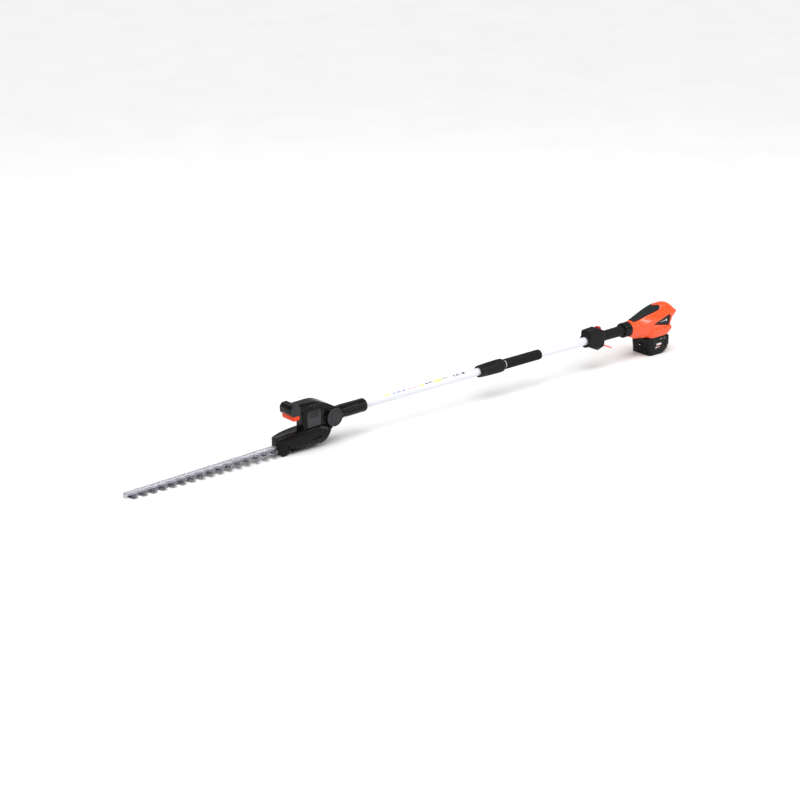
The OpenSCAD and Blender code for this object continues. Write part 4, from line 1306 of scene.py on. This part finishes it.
def make_upper_case(sizes):
    stations = [(-200.5, 14.0, -27.5, -23.0), (-196, 18.0, -27.5, -21.0),
                (-182, 22.8, -27.2, -17.5), (-160, 27.2, -26.8, -14.0),
                (-135, 29.6, -26.2, -11.8), (-104, 31.2, -25.6, -10.6),
                (-60, 31.6, -25.0, -10.2), (-40, 31.6, -28.5, -11.5), (-24, 31.6, -32, -17.0),
                (-10, 31.0, -32, -25.0)]
    rings = []
    for x, w, z_edge, z_crown in catmull(stations, 4):
        ring = [(x, w, z_edge - 2), (x, w, z_edge + 2.2)]
        for k in range(1, 12):
            t = math.pi * k / 12
            c = math.cos(t)
            ring.append((x, (w - 1.2) * math.copysign(abs(c) ** 0.72, c),
                         z_edge + 2.6 + (z_crown - z_edge - 2.6) * math.sin(t) ** 0.8))
        ring += [(x, -w, z_edge + 2.2), (x, -w, z_edge - 2)]
        rings.append(ring)
    body = stack("upper_case", rings, HEAD)
    seam = [(-210, -26.3), (-60, -24), (-30, -31), (-5, -31), (-5, 10), (-210, 10)]
    keep(body, side_slab("seam", seam, -60, 60, HEAD))

    column = plan_slab("column", round_corners(COLUMN_PLAN, 4.5, 4), -22, 43, HEAD)
    crown = ([(-126, 44), (-104, 40.5), (-40, 38.4), (-24, 28), (-10, 16), (22, 14)]
             + ARCH_TOP[::-1] + [(-126, 65.4)])
    arch = side_slab("arch", crown, -29, 29, HEAD)
    keep(arch, plan_slab("arch_plan", mirrored(
        [(-126, 21), (-100, 25.5), (-60, 28), (-20, 28.6), (26, 28.6)]), 0, 80, HEAD))
    keep(arch, front_slab("arch_front", round_corners(both_sides(
        [(29, -40), (29, 45), (27.5, 53), (23, 60), (16, 64.5), (7, 66.6)]), 5, 4), -130, 40, HEAD))
    for y in (-1, 1):
        # the long reveal along the arch's flank, and the two grooves over its crown
        path = [(x, y * (24.0 + (x + 126) * 0.07 if x < -60 else 28.8), z - 14.5)
                for x, z in [(-124, 65.0), (-105, 64.6)] + ARCH_TOP[:11]]
        cut(arch, sweep("reveal", path, 1.9, HEAD, 10))
        path = [(x, y * 12.5, z + 0.5) for x, z in [(-124, 65.4), (-105, 65.0)] + ARCH_TOP[:12]]
        cut(arch, sweep("groove", path, 1.0, HEAD, 10))
    web = [(-40, -27), (-14, -31), (-6, -24), (10, 0), (20, 15), (-8, 36), (-40, 45)]
    ear = side_slab("ear_web", web, -20.4, 20.4, HEAD)
    join(ear, turned("ear", [(-EAR_OUT, 0), (-EAR_OUT, 28.3), (EAR_OUT, 28.3), (EAR_OUT, 0)],
                     HEAD, "y"))
    join(body, column, arch, ear)

    channel = [(-146, 42.4), (-48.5, 42.4), (-11.8, 23), (-6.4, 23), (-6.4, 32), (-20, 41),
               (-44, 53.5), (-146, 53.5)]
    cut(body, plan_slab("column_hollow", mirrored([(-97, 14), (-93, 19.1), (-43, 19.1),
                                                   (-38, 16)]), -40, 36.5, HEAD))
    cut(body, side_slab("deck_hollow", [(-150, -40), (-40, -40), (-40, -20), (-104, -20),
                                        (-135, -22), (-150, -24)], -14, 14, HEAD))
    cut(body, *sweep_tools("sweep"))
    cut(body, side_slab("channel", channel, -3.5, 3.5, HEAD))
    cut(body, turned("pin_bore", [(-60, 0), (-60, 5), (60, 5), (60, 0)], HEAD, "y"))
    for y0, y1 in ((-60, -25), (25, 60)):
        cut(body, turned("counterbore", [(y0, 0), (y0, 9.2), (y1, 9.2), (y1, 0)], HEAD, "y"))
    cut(body, cooling_slits(sizes))
    moulded(body, sizes.edge_voxel * 1000, 3, 0.45)
    body.name = "head_upper_case"
    finished(body, "head", "black_shell", FINISHES["black_shell"],
             "upper_case_left", "upper_case_right")


def make_column_lit_faces(sizes):
    """Satin grey panels on the column's sides, a painted highlight standing for their lit faces,
    with the cooling slits cut through them.
    """
    panels = []
    for y in (-1, 1):
        panels.append(side_slab("column_panel", round_corners(
            [(-94, -15.5), (-47, -14.5), (-45, 20), (-48, 36.5), (-92, 37.5), (-95, 20)], 3, 3),
            *sorted((y * 20.2, y * 22.0)), HEAD))
    panel = merge("column_panels", panels)
    cut(panel, cooling_slits(sizes))
    bevelled(panel, 0.6, 3)
    # the panels' lighter grey is painted light: it stands for the lit sides of the black column
    finished(panel, "head", "grey_plastic", FINISHES["grey_disc"])


def make_lower_case(sizes):
    heights = ((-22, 0.93), (-28, 0.97), (-35, 1.0), (-42, 1.005), (-50, 0.98), (-58, 0.91),
               (-65, 0.8), (-72, 0.64))
    rings = [[(x, y * factor, z) for x, y in round_corners(CASE_PLAN, 5, 4)]
             for z, factor in reversed(heights)]
    body = stack("lower_case_shell", rings, HEAD)
    keep(body, side_slab("belly", round_corners(BELLY, 4, 4), -60, 60, HEAD))
    keep(body, side_slab("seam", [(-210, -80), (0, -80), (0, -31.2), (-30, -31.2),
                                  (-60, -24.2), (-210, -26.6)], -60, 60, HEAD))
    for y in (-1, 1):
        cut(body, side_slab("side_slot", round_corners(
            [(-84, -49.6), (-52, -46.6), (-50, -41.8), (-82, -44.8)], 1.8, 3),
            *sorted((y * 27.5, y * 40)), HEAD))
    cut(body, block("hollow", (-160, -36), (-24, 24), (-66, -10), HEAD),
        block("blade_window", (-172, -158), (-14, 14), (-63.5, -44.2), HEAD))
    cut(body, *sweep_tools("sweep"))
    for x, y in CASE_SCREWS:
        cut(body, turned("screw_well", [(-90, 0), (-90, 4.2), (-67.9, 4.2), (-67.9, 0)], HEAD,
                         "z", (x, y, 0), 24))
    moulded(body, sizes.edge_voxel * 1000, 3, 0.45)
    body.name = "head_lower_case"
    finished(body, "head", "black_shell", FINISHES["black_shell"], "lower_case")
    heads = []
    turn = HEAD @ Matrix.Rotation(math.pi, 4, "X")
    for x, y in CASE_SCREWS:
        heads.append(screw_head("case_screw", turn, (x, -y, 68.0), "z", 3.5, 1.6))
    screws = merge("case_screw_heads", heads)
    bevelled(screws, 0.15, 1)
    finished(screws, "head", "fastener_steel", FINISHES["matte_black"], "head_screws")


def make_blade_guard():
    body = side_slab("blade_guard_shell", [(-197.5, -44.3), (-197.5, -60), (-187, -75.5),
                                           (-176, -75.5), (-165, -66.5), (-165, -44.3)],
                     -23.2, 23.2, HEAD)
    keep(body, plan_slab("guard_plan", mirrored([(-198, 16), (-187, 22.6), (-164, 23.2)]),
                         -90, -40, HEAD))
    cut(body, block("guard_window", (-300, -100), (-14, 14), (-63.2, -30), HEAD))
    for y in (-1, 1):
        cut(body, side_slab("scallop", [(-190, -62), (-184, -71), (-178, -71), (-171, -64),
                                        (-172, -50), (-190, -50)],
                            *sorted((y * 22.2, y * 30)), HEAD))
    bevelled(body, 1.0, 3)
    finished(body, "head", "matte_black", FINISHES["matte_black"], "blade_guard")


def make_handle_bar():
    section = [(-150, 37.6), (-125, 37.6), (-125, 66), (-131, 68.4), (-146, 68.4), (-155, 60),
               (-155, 44)]
    bar = side_slab("handle_bar", round_corners(section, 3.2, 4), -26, 26, HEAD)
    ends = []
    for y in (-1, 1):
        plate = side_slab("end_plate", [(-151, 37.2), (-128, 37.2), (-124.6, 42), (-124.6, 62),
                                        (-130, 68.8), (-147, 68.8), (-155.6, 60.5),
                                        (-155.6, 43)],
                          *sorted((y * 25.2, y * 28.7)), HEAD)
        ends.append(plate)
    # two shallow flats run along the bar's crown
    for x in (-151.6, -141.5):
        cut(bar, sweep("bar_groove", [(x, -24.5, 68.9 if x > -150 else 65.2),
                                      (x, 24.5, 68.9 if x > -150 else 65.2)], 1.1, HEAD, 10))
    cut(bar, side_slab("bar_hollow", [(-149.8, 30), (-126.7, 30), (-126.7, 50), (-127, 64),
                                      (-132, 66.3), (-145.5, 66.3), (-152.6, 59),
                                      (-152.6, 50.2), (-149.8, 50)], -24.8, 24.8, HEAD),
        block("lever_mouth", (-149.9, -126.6), (-27.1, 27.1), (30, 50), HEAD),
        block("pawl_slot", (-128, -120), (-3.8, 3.8), (30, 56), HEAD))
    bevelled(bar, 0.8, 3)
    bar.name = "handle_bar_shell"
    finished(bar, "head", "black_shell", FINISHES["black_shell"], "t_bar")
    plates = merge("handle_end_plates", ends)
    cut(plates, block("lever_mouth", (-149.9, -126.6), (-27.1, 27.1), (30, 50), HEAD))
    bevelled(plates, 0.9, 3)
    finished(plates, "head", "grey_plastic", FINISHES["grey_disc"])

    lever = side_slab("release_lever", [(-149, 24.5), (-145.5, 21.2), (-130, 21.2),
                                        (-127, 23.5), (-127, 37), (-149, 37)],
                      -26.6, 26.6, HEAD)
    keep(lever, front_slab("lever_front", [(-26.6, 25.5), (-23, 21.2), (23, 21.2),
                                           (26.6, 25.5), (26.6, 40), (-26.6, 40)],
                           -160, -120, HEAD))
    join(lever, block("lever_top", (-148.8, -127.2), (-24, 24), (36, 42.1), HEAD))
    for y in range(-20, 21, 5):
        cut(lever, block("lever_rib", (-144, -131), (y - 0.8, y + 0.8), (18, 21.9), HEAD))
    bevelled(lever, 0.9, 3)
    lever.name = "tilt_lever_key"
    finished(lever, "release", "trigger_orange", FINISHES["trigger_orange"], "tilt_lever")


def make_pivot_caps():
    for side, y in (("left", -1), ("right", 1)):
        profile = [(29.5, 0), (29.5, 26.6), (30.0, 28.0), (31.4, 28.0), (32.3, 27.0),
                   (32.3, 25.2), (31.2, 24.0), (31.0, 23.0), (31.1, 12.0), (31.5, 11.2),
                   (31.5, 6.0), (31.2, 5.4), (31.2, 0)]
        cap = turned("pivot_disc_" + side, [(y * a, r) for a, r in profile], HEAD, "y",
                     sides=96)
        shade_smooth(cap, 30)
        finished(cap, "head", "grey_plastic", FINISHES["grey_disc"], "pivot_cap_" + side)


# ---------- cutter ----------

FIRST_TOOTH = -213
FIRST_BOLT = -667
BOLT_PITCH = 80.4


def make_blade_bar(sizes):
    bar = front_slab("blade_bar_rail", [(-6, -54.3), (6, -54.3), (6, -46.2), (4.6, -44.5),
                                        (-4.6, -44.5), (-6, -46.2)], -700, -139, HEAD)
    tip = side_slab("bar_tip", round_corners(
        [(-699, -44.6), (-701.5, -45.2), (-704.8, -48.6), (-705, -56.5), (-703, -59.1),
         (-699, -59.5)], 1.0, 3), -6, 6, HEAD)
    join(bar, tip)
    hole = turned("bolt_hole", [(-80, 0), (-80, 2.5), (-30, 2.5), (-30, 0)], HEAD, "z",
                  (FIRST_BOLT, 0, 0), 20)
    cut(bar, repeated("bolt_holes", hole, sizes.bar_bolts,
                      step=in_space(HEAD, (BOLT_PITCH, 0, 0))))
    for y in (-1, 1):
        cut(bar, sweep("drawn_line", [(-690, y * 6.3, -50.2), (-205, y * 6.3, -50.2)], 0.7,
                       HEAD, 8))
    bevelled(bar, 0.35, 2)
    finished(bar, "head", "bar_alloy", FINISHES["bar_alloy"], "blade_bar")

    profile = [(-64, 0), (-64, 4.1), (-63.4, 4.6), (-61, 4.6), (-61, 2.4), (-44.5, 2.4),
               (-44.5, 4.4), (-43.7, 4.4), (-42.8, 3.7), (-42.2, 2.3), (-42.1, 1.9),
               (-43.3, 1.6), (-43.3, 0)]
    bolt = turned("button_bolt", profile, HEAD, "z", (FIRST_BOLT, 0, 0), 24)
    bolts = repeated("button_bolts", bolt, sizes.bar_bolts,
                     step=in_space(HEAD, (BOLT_PITCH, 0, 0)))
    root = turned("root_bolt", [(-64, 0), (-64, 4.6), (-61, 4.6), (-61, 2.5), (-44.3, 2.5),
                                (-44.3, 0)], HEAD, "z", (-156, 0, 0), 24)
    whole = merge("bar_button_bolts", [shade_smooth(bolts, 35), shade_smooth(root, 35)])
    finished(whole, "head", "fastener_steel", FINISHES["fastener_steel"], "bar_bolts")


def make_blades(sizes):
    for name, shift, base, up in (("upper_blade", 4, -57.0, 1), ("lower_blade", -4, -59.6, -1)):
        spine = cad_copy(name, name + "_spine")
        edge = -207.0
        tail = plan_slab("tail_room", [(-800, -8.9), (edge + 3, -8.9), (edge + 12, -30),
                                       (50, -30), (50, 30), (edge + 12, 30), (edge + 3, 8.9),
                                       (-800, 8.9)], -80, -40, HEAD)
        combine(spine, tail, "INTERSECT", "EXACT")
        low, high = (0.9, 2.4) if up > 0 else (1.5, 0.0)
        teeth = []
        for y in (-1, 1):
            full = [(-7.4, 8.4), (-3.3, 24.6), (-2.4, 25), (2.4, 25), (3.3, 24.6), (7.4, 8.4)]
            ground = [(-6.0, 8.4), (-2.2, 23.0), (-1.5, 23.6), (1.5, 23.6), (2.2, 23.0),
                      (6.0, 8.4)]
            flat = 0.0 if up > 0 else 2.4
            rings = [[(FIRST_TOOTH + shift + x, y * r, base + z) for x, r in outline]
                     for outline, z in ((full, flat), (full, low), (ground, high))]
            tooth = stack("tooth", rings, HEAD)
            teeth.append(repeated("teeth", tooth, sizes.blade_teeth,
                                  step=in_space(HEAD, (-sizes.tooth_pitch * 1000, 0, 0))))
        tidy_mesh(spine.data, 1e-6)
        whole = merge(name + "_ground", [shade_smooth(piece, 20) for piece in [spine] + teeth])
        body = "upper_cutter" if up > 0 else "lower_cutter"
        finished(whole, body, "blade_steel", FINISHES["blade_steel"], name)


# ---------- screws and inner parts ----------

def make_shell_screws():
    heads = []
    for x, z in HOUSING_SCREWS:
        heads.append(screw_head("housing_screw", POLE, (x, 18.0, z), "y", 3.3, 2.0))
    for x, z in TRIGGER_SCREWS:
        heads.append(screw_head("trigger_screw", POLE, (x, 15.5, z), "y", 3.3, 2.0))
    screws = merge("shell_screw_heads", heads)
    bevelled(screws, 0.15, 1)
    finished(screws, "power_unit", "fastener_steel", FINISHES["fastener_steel"],
             "housing_screws", "trigger_housing_screws")


INNER_FINISHES = {
    "control_board": "board", "terminal_block": "matte_black", "battery_guide": "grey_plastic",
    "trigger_pin": "fastener_steel", "switch_body": "matte_black",
    "clamp_collet": "natural_plastic", "pole_lead": "lead_rubber",
    "lock_off_spring": "bare_steel", "battery_cells": "cell_wrap",
    "cell_holder": "natural_plastic", "battery_contacts": "contact_brass",
    "tube_end_bush": "grey_plastic", "bracket_screws": "fastener_steel",
    "lock_ring": "bare_steel", "head_lead": "lead_rubber", "pivot_bolt": "fastener_steel",
    "motor_can": "bare_steel", "gearbox_plate": "bar_alloy", "tilt_spring": "bare_steel",
    "lock_pawl": "bare_steel", "motor_rotor": "bare_steel", "crank_gear": "bare_steel",
}


def finish_inner_parts():
    """Gives every CAD part that stays its own finish."""
    for node, key in INNER_FINISHES.items():
        mesh = frame["nodes"][node].data
        mesh.materials.clear()
        mesh.materials.append(FINISHES[key])


# ---------- stage ----------

def place_lamp(light, location, towards):
    lamp = bpy.data.objects.new(light.name, light)
    lamp.location = location
    lamp.rotation_euler = towards.to_track_quat("-Z", "Y").to_euler()
    bpy.context.scene.collection.objects.link(lamp)


def make_stage():
    slope = math.atan2(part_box("blade_guard")[0].z, -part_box("blade_guard")[0].x)
    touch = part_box("battery_case_lower")[0]
    floor = from_points("floor", [(-40, -40, 0), (40, -40, 0), (40, 40, 0), (-40, 40, 0)],
                        [(0, 1, 2, 3)],
                        Matrix.Translation((touch.x, 0, 0)) @ Matrix.Rotation(slope, 4, "Y"))
    pale = Finish("floor_paint")
    tone = pale.noise(3.0, 3.0)
    floor.data.materials.append(pale.finish(
        Base_Color=pale.mixed(tone, (0.88, 0.88, 0.88, 1), (0.92, 0.92, 0.92, 1)),
        Roughness=pale.ranged(tone, 0.3, 0.7, 0.7, 0.8)))

    world = bpy.data.worlds.new("studio")
    bpy.context.scene.world = world
    world.use_nodes = True
    sky = world.node_tree.nodes["Background"]
    sky.inputs[0].default_value = (1.0, 1.0, 1.0, 1.0)
    sky.inputs[1].default_value = 0.36

    middle = Vector((-0.8, 0.0, 0.1))
    for name, offset, size, power in (("key", (-2.2, -2.2, 2.6), (1.0, 1.0), 24),
                                      ("shoulder", (2.4, -2.1, 2.4), (2.6, 0.35), 30),
                                      ("flank", (2.5, -3.1, 0.75), (2.6, 0.3), 16),
                                      ("back", (0.8, 3.0, 2.6), (3.0, 0.7), 12)):
        light = bpy.data.lights.new(name, "AREA")
        light.shape = "RECTANGLE"
        light.size, light.size_y = size
        light.energy = power
        place_lamp(light, middle + Vector(offset), -Vector(offset))
    overhead = bpy.data.lights.new("overhead", "SUN")
    overhead.energy = 2.2
    overhead.angle = math.radians(50)
    place_lamp(overhead, middle + Vector((0, 0, 3)), Vector((0.15, 0.12, -1)))

    camera = bpy.data.objects.new("camera", bpy.data.cameras.new("camera"))
    camera.location = (-4.3975, -3.8257, 1.8959)
    camera.rotation_euler = Vector((0.6110, 0.7155, -0.3387)).to_track_quat("-Z", "Y").to_euler()
    camera.data.sensor_width = 36.0
    camera.data.lens = 79.47
    camera.data.clip_start = 0.05
    bpy.context.scene.collection.objects.link(camera)
    bpy.context.scene.camera = camera
    bpy.context.scene.view_settings.view_transform = "Standard"


# ---------- operators, panel and registration ----------

class TRIMMER_OT_finishes(bpy.types.Operator):
    """Makes the finishes and gives the inner parts theirs."""
    bl_idname = "trimmer.finishes"
    bl_label = "Finishes"

    def execute(self, context):
        FINISHES.update(make_finishes(context.scene.trimmer_colours))
        finish_inner_parts()
        return {"FINISHED"}


class TRIMMER_OT_stage(bpy.types.Operator):
    """Sets up the floor, the lights and the camera."""
    bl_idname = "trimmer.stage"
    bl_label = "Stage"

    def execute(self, context):
        make_stage()
        return {"FINISHED"}


class TRIMMER_OT_power_housing(bpy.types.Operator):
    """Orange housing with its soft pad, side panels and marks."""
    bl_idname = "trimmer.power_housing"
    bl_label = "Power housing"

    def execute(self, context):
        make_power_housing(context.scene.trimmer_sizes)
        marks = merge("panel_light_marks", [bevelled(mark, 0.25, 2) for mark in panel_marks()])
        finished(marks, "power_unit", "natural_plastic", FINISHES["mark_light"])
        return {"FINISHED"}


class TRIMMER_OT_battery(bpy.types.Operator):
    """Slide-on battery with its label, latch and charge gauge."""
    bl_idname = "trimmer.battery"
    bl_label = "Battery"

    def execute(self, context):
        make_battery(context.scene.trimmer_sizes)
        return {"FINISHED"}


class TRIMMER_OT_trigger_housing(bpy.types.Operator):
    """Trigger housing, trigger and lock-off button."""
    bl_idname = "trimmer.trigger_housing"
    bl_label = "Trigger housing"

    def execute(self, context):
        make_trigger_housing(context.scene.trimmer_sizes)
        return {"FINISHED"}


class TRIMMER_OT_rear_grip(bpy.types.Operator):
    """Dimpled rear grip and the collar behind it."""
    bl_idname = "trimmer.rear_grip"
    bl_label = "Rear grip"

    def execute(self, context):
        make_rear_grip()
        return {"FINISHED"}


class TRIMMER_OT_tubes(bpy.types.Operator):
    """Painted front and rear tubes."""
    bl_idname = "trimmer.tubes"
    bl_label = "Tubes"

    def execute(self, context):
        make_tubes()
        return {"FINISHED"}


class TRIMMER_OT_tube_marks(bpy.types.Operator):
    """Plain coloured blocks on the front tube."""
    bl_idname = "trimmer.tube_marks"
    bl_label = "Tube marks"

    def execute(self, context):
        make_tube_marks()
        return {"FINISHED"}


class TRIMMER_OT_foam(bpy.types.Operator):
    """Foam hand sleeve on the rear tube."""
    bl_idname = "trimmer.foam"
    bl_label = "Foam sleeve"

    def execute(self, context):
        make_foam()
        return {"FINISHED"}


class TRIMMER_OT_twist_lock(bpy.types.Operator):
    """Ribbed twist collar that locks the tubes."""
    bl_idname = "trimmer.twist_lock"
    bl_label = "Twist lock"

    def execute(self, context):
        make_twist_lock(context.scene.trimmer_sizes)
        return {"FINISHED"}


class TRIMMER_OT_bracket(bpy.types.Operator):
    """Bracket between the front tube and the head."""
    bl_idname = "trimmer.bracket"
    bl_label = "Pole bracket"

    def execute(self, context):
        make_bracket()
        return {"FINISHED"}


class TRIMMER_OT_upper_case(bpy.types.Operator):
    """Deck, motor column and arch of the cutter head."""
    bl_idname = "trimmer.upper_case"
    bl_label = "Head upper case"

    def execute(self, context):
        make_upper_case(context.scene.trimmer_sizes)
        make_column_lit_faces(context.scene.trimmer_sizes)
        return {"FINISHED"}


class TRIMMER_OT_lower_case(bpy.types.Operator):
    """Lower half of the gear case and its screws."""
    bl_idname = "trimmer.lower_case"
    bl_label = "Head lower case"

    def execute(self, context):
        make_lower_case(context.scene.trimmer_sizes)
        return {"FINISHED"}


class TRIMMER_OT_blade_guard(bpy.types.Operator):
    """Guard at the root of the blades."""
    bl_idname = "trimmer.blade_guard"
    bl_label = "Blade guard"

    def execute(self, context):
        make_blade_guard()
        return {"FINISHED"}


class TRIMMER_OT_handle_bar(bpy.types.Operator):
    """Cross handle and its release lever."""
    bl_idname = "trimmer.handle_bar"
    bl_label = "Handle bar"

    def execute(self, context):
        make_handle_bar()
        return {"FINISHED"}


class TRIMMER_OT_pivot_caps(bpy.types.Operator):
    """Discs on both sides of the tilt joint."""
    bl_idname = "trimmer.pivot_caps"
    bl_label = "Pivot discs"

    def execute(self, context):
        make_pivot_caps()
        return {"FINISHED"}


class TRIMMER_OT_blade_bar(bpy.types.Operator):
    """Blade bar and its button bolts."""
    bl_idname = "trimmer.blade_bar"
    bl_label = "Blade bar"

    def execute(self, context):
        make_blade_bar(context.scene.trimmer_sizes)
        return {"FINISHED"}


class TRIMMER_OT_blades(bpy.types.Operator):
    """Both ground blades with all their teeth."""
    bl_idname = "trimmer.blades"
    bl_label = "Blades"

    def execute(self, context):
        make_blades(context.scene.trimmer_sizes)
        return {"FINISHED"}


class TRIMMER_OT_shell_screws(bpy.types.Operator):
    """Screws of the housing and the trigger housing."""
    bl_idname = "trimmer.shell_screws"
    bl_label = "Shell screws"

    def execute(self, context):
        make_shell_screws()
        return {"FINISHED"}


PIECES = (TRIMMER_OT_finishes, TRIMMER_OT_stage,
          TRIMMER_OT_power_housing,
          TRIMMER_OT_battery,
          TRIMMER_OT_trigger_housing,
          TRIMMER_OT_rear_grip,
          TRIMMER_OT_tubes,
          TRIMMER_OT_tube_marks,
          TRIMMER_OT_foam,
          TRIMMER_OT_twist_lock,
          TRIMMER_OT_bracket,
          TRIMMER_OT_upper_case,
          TRIMMER_OT_lower_case,
          TRIMMER_OT_blade_guard,
          TRIMMER_OT_handle_bar,
          TRIMMER_OT_pivot_caps,
          TRIMMER_OT_blade_bar,
          TRIMMER_OT_blades,
          TRIMMER_OT_shell_screws)


class TRIMMER_PT_panel(bpy.types.Panel):
    """Sizes, colours and pieces of the hedge trimmer."""
    bl_idname = "TRIMMER_PT_panel"
    bl_label = "Pole hedge trimmer"
    bl_space_type = "VIEW_3D"
    bl_region_type = "UI"
    bl_category = "Hedge trimmer"

    def draw(self, context):
        layout = self.layout
        for group in (context.scene.trimmer_sizes, context.scene.trimmer_colours):
            box = layout.box()
            for key in group.__annotations__:
                box.prop(group, key)
        for piece in PIECES:
            layout.operator(piece.bl_idname)


CLASSES = (TrimmerColours, TrimmerSizes, *PIECES, TRIMMER_PT_panel)


def register():
    for entry in CLASSES:
        bpy.utils.register_class(entry)
    bpy.types.Scene.trimmer_sizes = bpy.props.PointerProperty(type=TrimmerSizes)
    bpy.types.Scene.trimmer_colours = bpy.props.PointerProperty(type=TrimmerColours)


def unregister():
    del bpy.types.Scene.trimmer_colours
    del bpy.types.Scene.trimmer_sizes
    for entry in reversed(CLASSES):
        bpy.utils.unregister_class(entry)


def main():
    register()
    for piece in PIECES:
        group, call = piece.bl_idname.split(".")
        getattr(getattr(bpy.ops, group), call)()


if __name__ == "__main__":
    main()
